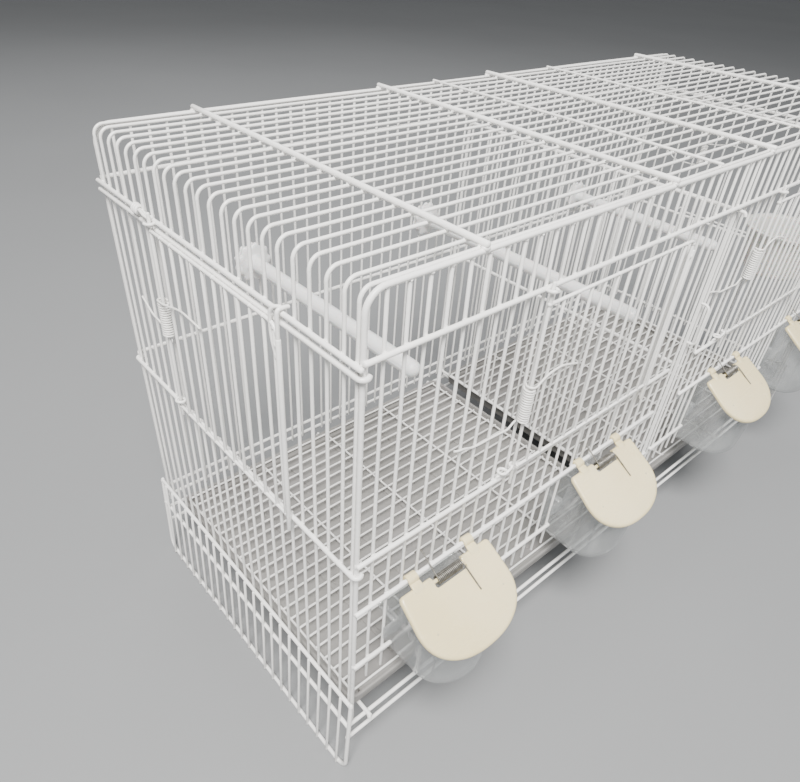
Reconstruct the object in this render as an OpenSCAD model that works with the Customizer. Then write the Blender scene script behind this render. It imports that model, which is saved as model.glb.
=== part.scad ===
// Wire breeding cage for small birds: two compartments, two front doors, a door
// in each end, four outside feeders with sprung lids, pull-out divider, two
// trays with floor grilles, perches and a nest cup.
// Millimetres. X along the length, Y from front to back, Z up. The origin is the
// centre of the bounding box at floor level.

/* [Cage] */
// Spacing of the upright wires
pitch = 12.5; // [12:0.1:13]
// Height of the hoop wires above the floor
top_z = 399; // [396:1:404]
// Height of the middle rail
mid_z = 227.5; // [225:0.5:230]
// Height of the upper rail
upper_z = 365; // [363:1:367]
// Bend radius of the front and back frames at the top corners
bend_r = 11; // [8:0.5:16]
// Bend radius of the hoops where they turn down into the ends
hoop_r = 6.5; // [5:0.5:10]

/* [Wire] */
// Upright and hoop wire diameter
wire_d = 2.2; // [2:0.1:2.4]
// Rail and frame wire diameter
rail_d = 3; // [2.8:0.1:3.2]
// Diameter of the thick bars across the top
bar_d = 3.6; // [3:0.1:4]

/* [Doors] */
// Height of the top wire of a front door
door_top_z = 356.5; // [350:0.5:358]
// Width of a front door in upright spacings
door_cells = 12.7; // [12.5:0.1:12.8]

/* [Feeders] */
// Slope of the closed lid below the level, in degrees
lid_slope = 33; // [30:1:36]
// Lid width at its hinge edge
lid_w = 80; // [76:1:82]
// Lid length down its slope
lid_l = 56; // [52:1:58]
// Wall of the clear cup
cup_wall = 1.8; // [1.6:0.1:2.2]

/* [Trays] */
// Height of a tray wall
tray_h = 12; // [12:1:20]
// Wall of a tray
tray_wall = 2.2; // [1.8:0.1:3]

/* [Perches] */
// Perch diameter
perch_d = 12; // [10:0.5:14]

/* [Hidden] */

p = pitch;
NX = 56;                  // upright spacings along the length
NY = 22;                  // upright spacings from front to back
hx = NX * p / 2;          // half length at the hoop centres
D = NY * p;               // depth between front and back uprights
lid_dir = [0, -cos(lid_slope), -sin(lid_slope)];
front_reach = (wire_d + rail_d) / 2 * cos(30) - 0.25 + (6.2 + lid_l) * cos(lid_slope) + 2.8 * sin(lid_slope) + 0.05;
back_reach = 4.7;
yf = (front_reach - back_reach - D) / 2;   // plane of the front uprights
yb = yf + D;                               // plane of the back uprights
r_w = wire_d / 2;
r_r = rail_d / 2;
weld = 0.3;               // depth that the top bars sink into the hoops
gap = 0.05;               // pieces that bear on each other
lay = (r_w + r_r) * cos(30) - 0.25;  // from uprights to the rails welded on them
px = hx - 0.8;            // corner posts of the front and back panels
hoop0 = r_w + r_r + gap;  // first and last hoop stand behind the panel frames
lid_z = mid_z - 3.2 * p;
third_z = mid_z - 7.7 * p;
foot_z = mid_z - 9.6 * p; // lower ends of the front uprights
hoop_z = mid_z - 11.6 * p;
skirt_z = mid_z - 11.2 * p;
lean = 2.5;
feeder_c = [5.5, 19.5, 36.5, 50.5];
door_k = [10, 33];        // upright on the hinge side of each front door
door_y = yf - lay - r_r - r_r - 0.3;
door_x = hx + lay + r_r + r_r + 0.3;
rail_A = 56.4;
rail_B = 40;
tray_z = rail_A + r_r + rail_d + gap + 0.05;
grille_z = tray_z + 10.2;
tray_x0 = -hx + 5;         // the two trays are alike, with a gap under the divider
tray_x1 = -16.5;
tray_step = 2 - tray_x0;
coil_r = 3.6;
front_mid_z = mid_z + 4; // the front middle rail sits a little higher than the end ones
ivory = [0.90, 0.87, 0.76];
white = [0.93, 0.93, 0.92];

function kx(k) = -hx + k * p;
function ky(k) = yf + k * p;
function in(k, a, b) = k >= a && k <= b;
function feeder_cut(k) = len([for (c = feeder_c) if (abs(k - c) < 3) 1]) > 0;
function door_cut(k) = in(k, door_k[0] + 1, door_k[0] + 12) || in(k, door_k[1] + 1, door_k[1] + 12);

// Straight wire from a to b.
module rod(a, b, d, f = 6, tw = 0) {
  v = b - a;
  l = norm(v);
  translate(a) rotate([0, acos(v[2] / l), atan2(v[1], v[0])])
    rotate([0, 0, tw]) cylinder(d = d, h = l, $fn = f);
}

// Bent wire: an arc of radius r about +Z from angle a0, turning by a.
module arc(r, d, a0, a, f = 6, tw = 0) {
  rotate([0, 0, a0]) rotate_extrude(angle = a, $fn = 48)
    translate([r, 0]) rotate(tw) circle(d = d, $fn = f);
}

module ring(c, r, d) {
  translate(c) rotate_extrude($fn = 32) translate([r, 0]) circle(d = d, $fn = 8);
}

// One hoop top with its two corner bends.
module hoop_top(y) {
  rod([-hx + hoop_r, y, top_z], [hx - hoop_r, y, top_z], wire_d);
  for (s = [0, 1]) mirror([s, 0, 0])
    translate([-hx + hoop_r, y, top_z - hoop_r]) rotate([90, 0, 0])
      arc(hoop_r, wire_d, 90, 90);
}

function hoop_y(k) = k == 0 ? yf + hoop0 : k == NY ? yb - hoop0 : ky(k);

module top_grille() color(white) {
  for (k = [0 : NY]) hoop_top(hoop_y(k));
  zb = top_z + r_w + bar_d / 2 - weld;
  zt = top_z + r_w + wire_d / 2 - weld;
  for (b = [5.67, 19.1, 29.8, 50.33])
    rod([kx(b), yf - r_r - 0.5, zb], [kx(b), yb + r_r + 0.5, zb], bar_d);
  for (b = [24, 36.9])
    rod([kx(b), yf + 1, zt], [kx(b), yb - 1, zt], wire_d);
}

// Inverted U frame of the front and back panels, centred on y.
module panel_frame(y, zb) {
  zt = top_z - 0.8;
  rod([-px + bend_r, y, zt], [px - bend_r, y, zt], rail_d);
  for (s = [0, 1]) mirror([s, 0, 0]) {
    translate([-px + bend_r, y, zt - bend_r]) rotate([90, 0, 0])
      arc(bend_r, rail_d, 90, 90);
    rod([-px, y, zb], [-px, y, zt - bend_r], rail_d);
  }
}

module front_grille() color(white) {
  zt = top_z - 0.8;
  yr = yf - lay;
  panel_frame(yf, 62);
  for (k = [1 : NX - 1]) if (k != 28) {
    x = kx(k);
    lo = feeder_cut(k) ? lid_z : foot_z;
    if (door_cut(k)) {
      rod([x, yf, lo], [x, yf, front_mid_z + 1], wire_d);
      rod([x, yf, upper_z - 1], [x, yf, zt], wire_d);
    } else rod([x, yf, lo], [x, yf, zt], wire_d);
  }
  for (k = [27.6, 28.4]) rod([kx(k), yf, foot_z], [kx(k), yf, zt], wire_d);
  rod([-px - 1.4, yr, upper_z], [px + 1.4, yr, upper_z], rail_d);
  for (s = [0, 1]) mirror([s, 0, 0])
    for (z = [front_mid_z, lid_z])
      rod([-px - 1.4, yr, z], [kx(26.3), yr, z], rail_d);
  for (s = [[0, 2], [9, 16], [23, 27.6], [28.4, 33], [40, 47], [54, 56]])
    rod([s[0] == 0 ? -px - 1.4 : kx(s[0]) - 1.2, yr, third_z],
        [s[1] == 56 ? px + 1.4 : kx(s[1]) + 1.2, yr, third_z], rail_d);
  // eyes that the door hinge wires turn in
  for (k = door_k) for (z = [front_mid_z - 1.3, upper_z])
    ring([kx(k), door_y, z], 3, wire_d);
}

module back_grille() color(white) {
  zt = top_z - 0.8;
  panel_frame(yb, 64);
  for (k = [1 : NX - 1]) rod([kx(k), yb, 66], [kx(k), yb, zt], wire_d);
  for (z = [upper_z, mid_z, mid_z - 11.7 * p, mid_z - 12.7 * p])
    rod([-px - 1.4, yb + lay, z], [px + 1.4, yb + lay, z], rail_d);
}

// Left end: hoop legs, cut at the door, and the rails welded outside them.
module end_grille() {
  zt = top_z - hoop_r;
  xr = -hx - lay;
  for (k = [0 : NY]) {
    y = hoop_y(k);
    if (k >= 5 && k <= 15) {
      rod([-hx, y, hoop_z], [-hx, y, mid_z - 3.5], wire_d);
      rod([-hx, y, upper_z - 8.5], [-hx, y, zt], wire_d);
    } else rod([-hx, y, hoop_z], [-hx, y, zt], wire_d);
  }
  rod([xr, yf - 3.5, upper_z - 2], [xr, yb + 4.2, upper_z - 2], rail_d);
  rod([xr, yf, upper_z - 7.5], [xr, yb + 3, upper_z - 7.5], rail_d, 6);
  rod([xr, yf, mid_z - 4.5], [xr, yb, mid_z - 4.5], rail_d, 6);
  // ends bent round the corner posts
  cr = px - (hx + lay);
  for (z = [upper_z - 7.5, mid_z - 4.5])
    translate([-px, yf, z]) arc(-cr, rail_d, 180, 160, 6, 30);
  translate([-px, yb, mid_z - 4.5]) arc(-cr, rail_d, 20, 160, 6, 30);
  // eyes for the hinge wire, the lower one on a stem above the rail
  for (z = [mid_z + 2.2, upper_z - 2])
    ring([-door_x, ky(15.5), z], 3, wire_d);
  rod([-door_x + 2.6, ky(15.5) + 2.4, mid_z - 4.5], [-door_x + 2.2, ky(15.5) + 2, mid_z + 2.2], wire_d);
}
module left_end_grille() color(white) end_grille();
module right_end_grille() color(white) mirror([1, 0, 0]) end_grille();

// End skirt that is also the leg, drawn for the left side.
module skirt() {
  h = (skirt_z - r_r * cos(30)) / cos(lean);
  y0 = yf - 3.1; y1 = yb + 3.1; r = 11;
  translate([-hx - r_w - r_r - gap, 0, skirt_z]) rotate([0, lean, 0]) {
    for (s = [[y0, -1], [y1, 1]])
      rod([0, s[0], -h + r], [0, s[0], 3], rail_d);
    // the rail that stands on the table, with a level flat below
    rod([0, y0 + r, -h], [0, y1 - r, -h], rail_d, 6, 30 - lean);
    translate([0, y0 + r, -h + r]) rotate([0, 90, 0]) rotate([0, 0, -90]) arc(r, rail_d, 0, 90, 6, 30 + lean);
    translate([0, y1 - r, -h + r]) rotate([0, 90, 0]) arc(r, rail_d, 0, 90, 6, 30 + lean);
    for (z = [0, -(skirt_z - 60.6)])
      rod([0, y0, z], [0, y1, z], rail_d);
    for (k = [0 : NY - 1])
      rod([-lay, ky(k + 0.45), -h - 0.6], [-lay, ky(k + 0.45), 2], wire_d);
  }
}
module left_skirt() color(white) skirt();
module right_skirt() color(white) mirror([1, 0, 0]) skirt();

module base_rails(y) for (z = [rail_A, rail_B])
  rod([-hx - 4, y, z], [hx + 4, y, z], rail_d);
module base_front_rails() color(white) base_rails(yf + gap);
module base_back_rails() color(white) base_rails(yb - gap);

module tray_runners() color(white)
  for (x = [14, 180, 336], s = [-1, 1])
    rod([s * x, yf - 1, rail_A + rail_d + gap], [s * x, yb + 1, rail_A + rail_d + gap], rail_d);

// Divider grille in the slot between the middle uprights.
module divider() color(white) {
  y0 = yf - 7; y1 = yb - 6; z0 = tray_z + tray_h + 2.2; z1 = upper_z - 3.8;
  rod([0, y0 + 8, z1], [0, y1, z1], rail_d);
  for (z = [z0, mid_z]) rod([0, y0 + 8, z], [0, y1, z], rail_d);
  for (y = [y0 + 8, y1]) rod([0, y, z0 - 1], [0, y, z1 + 1], rail_d);
  for (k = [1 : NY - 2]) rod([-lay + 0.6, ky(k) + 2, z0], [-lay + 0.6, ky(k) + 2, z1], wire_d);
  // pull loop in front of the slot
  for (z = [mid_z + 22, mid_z + 58]) rod([0, y0, z], [0, y0 + 8, z], wire_d);
  rod([0, y0, mid_z + 21], [0, y0, mid_z + 59], wire_d);
}

// Door of upright wires. It is drawn in the XZ plane: hinge wire at x = 0, free edge at x = w.
module door(w, n, zb, zt, hinge_b, hinge_t, free_b, free_t) {
  rod([0, 0, hinge_b], [0, 0, hinge_t], wire_d, 24);
  rod([w, 0, free_b], [w, 0, zt - 8], rail_d);
  rod([0, 0, zb], [w, 0, zb], wire_d);
  rod([0, 0, zt], [w - 8, 0, zt], wire_d);
  translate([w - 8, 0, zt - 8]) rotate([90, 0, 0]) arc(8, wire_d, 0, 90);
  rod([w - 3.2, 0, zb - 2], [w - 3.2, 0, zt - 3], wire_d);
  for (i = [1 : n - 1]) rod([i * w / n, 0, zb - 1], [i * w / n, 0, zt], wire_d);
}

module front_door(i) {
  w = door_cells * p;
  translate([kx(door_k[i]), door_y, 0])
    door(w, 12, mid_z + 10.5, door_top_z, mid_z - 3, upper_z + 5, mid_z - 4, door_top_z);
}
module front_door_1() color(white) front_door(0);
module front_door_2() color(white) front_door(1);

module end_door() {
  w = 10.9 * p;
  zt = upper_z - 7.5;
  translate([-door_x, ky(15.5), 0]) rotate([0, 0, -90]) {
    door(w, 11, mid_z - 1, zt, mid_z - 9, upper_z + 4, mid_z - 13.5, zt);
    // finger over the upper rail
    rod([w, 0, zt - 9], [w, 0, upper_z + 1.6], wire_d);
    rod([w, -1, upper_z + 1.1], [w, 8, upper_z + 1.1], wire_d);
  }
}
module left_door() color(white) end_door();
module right_door() color(white) mirror([1, 0, 0]) end_door();

// Close-wound coil about +Z, with n turns of wire d.
module coil(r, d, n) {
  rotate_extrude($fn = 40) for (i = [0 : n - 1])
    translate([r, (i + 0.5) * d * 0.98]) circle(d = d, $fn = 8);
}

// Spring of a vertical hinge at the origin: coil and the leg that bears on the cage.
module hinge_spring(z, n, leg) {
  d = 1.2;
  translate([0, 0, z]) coil(coil_r, d, n);
  rod([0, -coil_r, z + d / 2], [leg[0], leg[1], z + leg[2]], d);
}
module hinge_spring_leg(z, n, leg) {
  d = 1.2;
  zt = z + n * d * 0.98 + d / 2 + 0.2;
  rod([0, -coil_r, zt], [leg[0], leg[1], zt + leg[2]], d);
  rod([0, -coil_r, zt], [coil_r, -1, zt], d);
}
module front_spring(i) translate([kx(door_k[i]), door_y, 0])
  hinge_spring(mid_z + (3.7 + 1.2 * i) * p, 24, [-4.1 * p, 3.45, 3]);
module front_spring_leg(i) translate([kx(door_k[i]), door_y, 0])
  hinge_spring_leg(mid_z + (3.7 + 1.2 * i) * p, 24, [3.4 * p, -1.75, 2]);
module front_door_1_spring() color(white) front_spring(0);
module front_door_2_spring() color(white) front_spring(1);
module front_door_1_spring_leg() color(white) front_spring_leg(0);
module front_door_2_spring_leg() color(white) front_spring_leg(1);
module end_spring() translate([-door_x, ky(15.5), 0]) rotate([0, 0, -90])
  hinge_spring(mid_z + 4.6 * p, 23, [-3.3 * p, 3.45, 6]);
module end_spring_leg() translate([-door_x, ky(15.5), 0]) rotate([0, 0, -90])
  hinge_spring_leg(mid_z + 4.6 * p, 23, [3.6 * p, -1.75, 3]);
module left_door_spring() color(white) end_spring();
module right_door_spring() color(white) mirror([1, 0, 0]) end_spring();
module left_door_spring_leg() color(white) end_spring_leg();
module right_door_spring_leg() color(white) mirror([1, 0, 0]) end_spring_leg();

// Solid box with rounded upright edges.
module rbox(x0, y0, z0, x1, y1, z1, r) {
  translate([x0 + r, y0, z0]) cube([x1 - x0 - 2 * r, y1 - y0, z1 - z0]);
  translate([x0, y0 + r, z0]) cube([x1 - x0, y1 - y0 - 2 * r, z1 - z0]);
  for (x = [x0 + r, x1 - r], y = [y0 + r, y1 - r])
    translate([x, y, z0]) cylinder(r = r, h = z1 - z0, $fn = 32);
}

module tray(s) translate([s * tray_step, 0, 0]) color([0.62, 0.60, 0.56]) {
  x0 = tray_x0; x1 = tray_x1; y0 = yf + 6; y1 = yb - 13.5; t = tray_wall;
  difference() {
    rbox(x0, y0, tray_z, x1, y1, tray_z + tray_h, 8);
    rbox(x0 + t, y0 + t, tray_z + t, x1 - t, y1 - t, tray_z + tray_h + 1, 6);
  }
  // ledges that carry the floor grille
  for (y = [y0 + t - 0.5, y1 - t - 5.5])
    translate([x0 + 12, y, tray_z + 1]) cube([x1 - x0 - 24, 6, grille_z - tray_z - 1 - 3 - gap]);
}
module tray_1() tray(0);
module tray_2() tray(1);

module floor_grille(s) translate([s * tray_step, 0, 0]) color(white) {
  x0 = tray_x0 + 5.5; x1 = tray_x1 - 5.3; y0 = yf + 12.5; y1 = yb - 17.5; n = 22;
  for (i = [0 : n]) rod([x0, y0 + i * (y1 - y0) / n, grille_z], [x1, y0 + i * (y1 - y0) / n, grille_z], wire_d);
  for (x = [x0 + 1, x0 + (x1 - x0) * 0.25, (x0 + x1) / 2, x0 + (x1 - x0) * 0.75, x1 - 1])
    rod([x, y0 - 1, grille_z - 1.9], [x, y1 + 1, grille_z - 1.9], wire_d);
}
module floor_grille_1() floor_grille(0);
module floor_grille_2() floor_grille(1);

// Lid, drawn with the lid rail as its X axis: u runs down the slope, v is its normal.
module lid_outline() {
  w = lid_w / 2; s = 25;
  hull() {
    translate([-w, 6.2]) square([2 * w, 1]);
    translate([-w - 1.5, 6.2 + s]) square([2 * w + 3, 0.5]);
    translate([0, 6.2 + s]) intersection() {
      scale([1, (lid_l - s) / (w + 1.5)]) circle(r = w + 1.5, $fn = 40);
      translate([-w - 2, 0]) square([2 * w + 4, lid_l]);
    }
  }
}
module at_lid(i) translate([kx(feeder_c[i]), yf - lay, lid_z]) rotate([180 + lid_slope, 0, 0]) mirror([0, 0, 1]) children();
module lid(i) color(ivory) at_lid(i) {
  difference() {
    translate([0, 0, 0.2]) linear_extrude(2.6) lid_outline();
    translate([-14, 0, -1]) cube([28, 14.5, 6]);
  }
  // ears that grip the lid rail
  for (x = [-2 * p, 2 * p]) difference() {
    union() {
      translate([x - 4, 0, 0]) rotate([0, 90, 0]) cylinder(r = 3.8, h = 8, $fn = 32);
      translate([x - 4, 0, 0.2]) cube([8, 10, 2.6]);
    }
    translate([x - 5, 0, 0]) rotate([0, 90, 0]) cylinder(r = r_r + 0.3, h = 10, $fn = 32);
  }
  // pin that carries the coil
  translate([-14.5, 10, 1.4]) rotate([0, 90, 0]) cylinder(r = 1.4, h = 29, $fn = 24);
}
module feeder_lid_1() lid(0);
module feeder_lid_2() lid(1);
module feeder_lid_3() lid(2);
module feeder_lid_4() lid(3);

module lid_spring(i) color([0.45, 0.43, 0.40]) at_lid(i) {
  translate([-11.2, 10, 1.4]) rotate([0, 90, 0]) coil(2.9, 1, 23);
  rod([11, 10, 4.2], [13.4, 31, 3.5], 1);
  // the arm passes over the lid rail and hooks behind an upright
  rod([-10.8, 10, 4.2], [-10.8, -11.8, 5.2], 1);
  rod([-10.8, -11.4, 5.2], [-15.8, -11.8, 5.2], 1);
}
module lid_spring_1() lid_spring(0);
module lid_spring_2() lid_spring(1);
module lid_spring_3() lid_spring(2);
module lid_spring_4() lid_spring(3);
// Clear cup: D-shaped, tapered, its rim follows the slope of the lid.
module cup_plan(w, f, b) {
  hull() {
    translate([-w, -20]) square([2 * w, 20 + b]);
    translate([0, -20]) scale([1, (f - 20) / w]) intersection() {
      circle(r = w, $fn = 40);
      translate([-w, -w]) square([2 * w, w]);
    }
  }
}
module cup_body(t, zb) hull() {
  translate([0, 0, -40]) linear_extrude(0.1) cup_plan(37 - t, 51 - t, 15 - t);
  translate([0, 0, zb]) linear_extrude(0.1) cup_plan(29 - t, 43 - t, 15 - t);
}
module cup(i) color([0.85, 0.88, 0.88, 0.5]) translate([kx(feeder_c[i]), yf, mid_z]) {
  s = tan(lid_slope);
  intersection() {
    difference() {
      cup_body(0, -125);
      cup_body(cup_wall, -125 + cup_wall + 0.6);
    }
    // side profile: low inside the cage, rising to the lid outside it
    translate([-60, 0, 0]) rotate([90, 0, 90]) linear_extrude(120)
      polygon([[16, -126], [16, -74], [-3, -74], [-7, -41.4 - 5 * s], [-53, -41.4 - 51 * s], [-53, -126]]);
  }
  // flanges that bear on the uprights beside the opening
  for (m = [0, 1]) mirror([m, 0, 0])
    translate([32.2, -3, -86]) cube([13, 1.7, 12]);
}
module feeder_cup_1() cup(0);
module feeder_cup_2() cup(1);
module feeder_cup_3() cup(2);
module feeder_cup_4() cup(3);

// Perch with a scalloped plate that bears on the back uprights.
perches = [[8.5, 4.1, 5.6], [24.5, 3.7, 2.2], [45.5, 1.7, 6.8]];
module scallop(h, r = 13.8) linear_extrude(h)
  polygon([for (a = [0 : 5 : 355]) (r + 1.3 * cos(9 * a)) * [cos(a), sin(a)]]);
module perch(i) color(white) {
  q = perches[i];
  y1 = yb - r_w - gap;
  translate([kx(q[0]), y1, mid_z + q[1] * p]) rotate([90, 0, 0]) {
    difference() {
      union() {
        scallop(4, 15.4);
        cylinder(d = perch_d, h = y1 - ky(q[2]) - perch_d / 2, $fn = 32);
        translate([0, 0, y1 - ky(q[2]) - perch_d / 2]) sphere(d = perch_d, $fn = 32);
        translate([0, 0, -4.4]) cylinder(r = 3.6, h = 5, $fn = 32);
      }
      translate([0, 0, -6]) cylinder(r = 1.9, h = 14, $fn = 32);
    }
  }
}
module perch_1() perch(0);
module perch_2() perch(1);
module perch_3() perch(2);
module perch_nut(i) color(white) {
  q = perches[i];
  translate([kx(q[0]), yb + r_w + gap, mid_z + q[1] * p]) rotate([-90, 0, 0]) {
    difference() { scallop(3.5); translate([0, 0, -1]) cylinder(r = 3.8, h = 3.2, $fn = 32); }
    translate([0, 0, -8]) cylinder(r = 1.8, h = 10.8, $fn = 32);
  }
}
module perch_nut_1() perch_nut(0);
module perch_nut_2() perch_nut(1);
module perch_nut_3() perch_nut(2);

// Nest cup in its wire hanger, inside the front of the second compartment.
nest_c = [kx(52), ky(3.9), mid_z + 3.1 * p];
nest_r = 42;
module nest_cup() color([0.9, 0.9, 0.88]) translate(nest_c) difference() {
  union() {
    translate([0, 0, -52]) cylinder(r1 = 28, r2 = nest_r - 4, h = 52, $fn = 48);
    translate([0, 0, -3]) cylinder(r = nest_r + 2, h = 3, $fn = 48);
  }
  translate([0, 0, -49.8]) cylinder(r1 = 26, r2 = nest_r - 6, h = 50, $fn = 48);
}
module nest_hanger() color(white) {
  rn = nest_r - 1.6;
  zr = nest_c[2] - 3 - 1.1 - gap;
  yi = yf + wire_d + gap;
  ring([nest_c[0], nest_c[1], zr], rn, wire_d);
  // arms that hook over the middle rail
  for (dx = [-1.5 * p, 1.5 * p]) {
    x = nest_c[0] + dx;
    rod([x, yi, zr], [x, nest_c[1] - sqrt(rn * rn - dx * dx) + 0.5, zr], wire_d);
    rod([x, yi, zr + 1], [x, yi, front_mid_z + 1.9], wire_d);
    rod([x, yi + 1, front_mid_z + 2.8], [x, yf - lay - r_r - 2, front_mid_z + 2.8], wire_d);
  }
}

top_grille();
left_end_grille();
right_end_grille();
front_grille();
back_grille();
left_skirt();
right_skirt();
base_front_rails();
base_back_rails();
tray_runners();
divider();
left_door();
left_door_spring();
left_door_spring_leg();
right_door();
right_door_spring();
right_door_spring_leg();
front_door_1();
front_door_1_spring();
front_door_1_spring_leg();
front_door_2();
front_door_2_spring();
front_door_2_spring_leg();
tray_1();
tray_2();
floor_grille_1();
floor_grille_2();
feeder_cup_1();
feeder_cup_2();
feeder_cup_3();
feeder_cup_4();
feeder_lid_1();
feeder_lid_2();
feeder_lid_3();
feeder_lid_4();
lid_spring_1();
lid_spring_2();
lid_spring_3();
lid_spring_4();
perch_1();
perch_2();
perch_3();
perch_nut_1();
perch_nut_2();
perch_nut_3();
nest_cup();
nest_hanger();
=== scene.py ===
import math

import bmesh
import bpy
import numpy as np
from mathutils import Matrix, Vector


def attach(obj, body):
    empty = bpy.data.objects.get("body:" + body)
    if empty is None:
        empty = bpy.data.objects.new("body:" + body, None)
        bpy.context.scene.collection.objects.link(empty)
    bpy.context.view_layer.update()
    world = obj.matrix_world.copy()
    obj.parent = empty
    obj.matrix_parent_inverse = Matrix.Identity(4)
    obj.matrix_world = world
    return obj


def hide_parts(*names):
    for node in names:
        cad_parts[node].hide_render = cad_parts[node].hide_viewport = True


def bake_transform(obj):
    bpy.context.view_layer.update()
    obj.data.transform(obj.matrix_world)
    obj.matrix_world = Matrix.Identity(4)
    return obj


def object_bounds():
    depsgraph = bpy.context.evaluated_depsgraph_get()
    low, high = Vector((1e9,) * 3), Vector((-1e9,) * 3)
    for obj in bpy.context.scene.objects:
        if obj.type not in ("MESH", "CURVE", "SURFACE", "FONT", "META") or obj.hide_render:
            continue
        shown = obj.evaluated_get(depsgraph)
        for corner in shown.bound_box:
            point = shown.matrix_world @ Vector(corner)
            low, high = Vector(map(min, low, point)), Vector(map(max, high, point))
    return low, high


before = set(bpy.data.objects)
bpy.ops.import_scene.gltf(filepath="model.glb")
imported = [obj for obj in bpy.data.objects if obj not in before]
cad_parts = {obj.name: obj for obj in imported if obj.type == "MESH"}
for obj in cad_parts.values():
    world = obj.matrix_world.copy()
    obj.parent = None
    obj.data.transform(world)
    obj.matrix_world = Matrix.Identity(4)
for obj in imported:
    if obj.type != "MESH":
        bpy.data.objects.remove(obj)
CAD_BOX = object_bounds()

RNG = np.random.RandomState(11)
MM = 0.001

# --------------------------------------------------------------------------
# Camera: the pinhole camera solved from the photograph, 800 x 782 pixels.
# --------------------------------------------------------------------------
cam_right = Vector((0.747873, -0.660913, 0.062294))
cam_down = Vector((-0.368444, -0.491309, -0.789217))
cam_fwd = Vector((0.552209, 0.567283, -0.610946))
cam_data = bpy.data.cameras.new("camera")
cam_data.sensor_fit = "HORIZONTAL"
cam_data.sensor_width = 36.0
cam_data.lens = 29.304
cam_data.shift_y = 0.028125
cam_data.clip_start = 0.01
cam_data.clip_end = 60.0
camera = bpy.data.objects.new("camera", cam_data)
bpy.context.scene.collection.objects.link(camera)
rot = Matrix((cam_right, -cam_down, -cam_fwd)).transposed()
camera.matrix_world = Matrix.Translation((-0.498687, -0.290414, 0.518226)) @ rot.to_4x4()
bpy.context.scene.camera = camera

# --------------------------------------------------------------------------
# Sizes of the CAD model, in millimetres.
# --------------------------------------------------------------------------
P = 12.5
NX, NY = 56, 22
HX = 350.0
WIRE, RAIL, BAR = 2.2, 3.0, 3.6
FINE, FLOOR_WIRE = 2.04, 1.85
RW, RR = WIRE / 2, RAIL / 2
TOP, MID, UPPER = 399.0, 227.5, 365.0
BEND, HOOP_R = 11.0, 6.5
COS30 = math.cos(math.radians(30))
LAY = (RW + RR) * COS30 - 0.25
FRONT_MID = MID + 4
SLOPE = math.radians(33)
FRONT_REACH = LAY + 62.2 * math.cos(SLOPE) + 2.8 * math.sin(SLOPE) + 0.05
YF = (FRONT_REACH - 4.7 - 275.0) / 2
YB = YF + 275.0
PX = HX - 0.8
HOOP0 = RW + RR + 0.05
LID_Z = MID - 3.2 * P
THIRD_Z = MID - 7.7 * P
FOOT_Z = MID - 9.6 * P
HOOP_Z = MID - 11.6 * P
SKIRT_Z = MID - 11.2 * P
LEAN = 2.5
FEEDERS = [5.5, 19.5, 36.5, 50.5]
DOORS = [10, 33]
DOOR_Y = YF - LAY - RR - RR - 0.3
DOOR_X = HX + LAY + RR + RR + 0.3
RAIL_A, RAIL_B = 56.4, 40.0
TRAY_Z = RAIL_A + RR + RAIL + 0.1
TRAY_H = 12.0
TRAY_X0, TRAY_X1 = -345.0, -16.5
TRAY_STEP = 2 - TRAY_X0
GRILLE_Z = TRAY_Z + 10.2
DOOR_W = 12.7 * P
DOOR_TOP = 356.5


def kx(k):
    return -HX + k * P


def ky(k):
    return YF + k * P


def hoop_y(k):
    return YF + HOOP0 if k == 0 else YB - HOOP0 if k == NY else ky(k)


# --------------------------------------------------------------------------
# Mesh building
# --------------------------------------------------------------------------
def unit(v):
    n = np.linalg.norm(v)
    return v / n if n > 1e-12 else v


ICO = None


def ico():
    global ICO
    if ICO is None:
        bm = bmesh.new()
        bmesh.ops.create_icosphere(bm, subdivisions=1, radius=1.0)
        ICO = (np.array([v.co[:] for v in bm.verts]), [tuple(v.index for v in f.verts) for f in bm.faces])
        bm.free()
    return ICO


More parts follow.
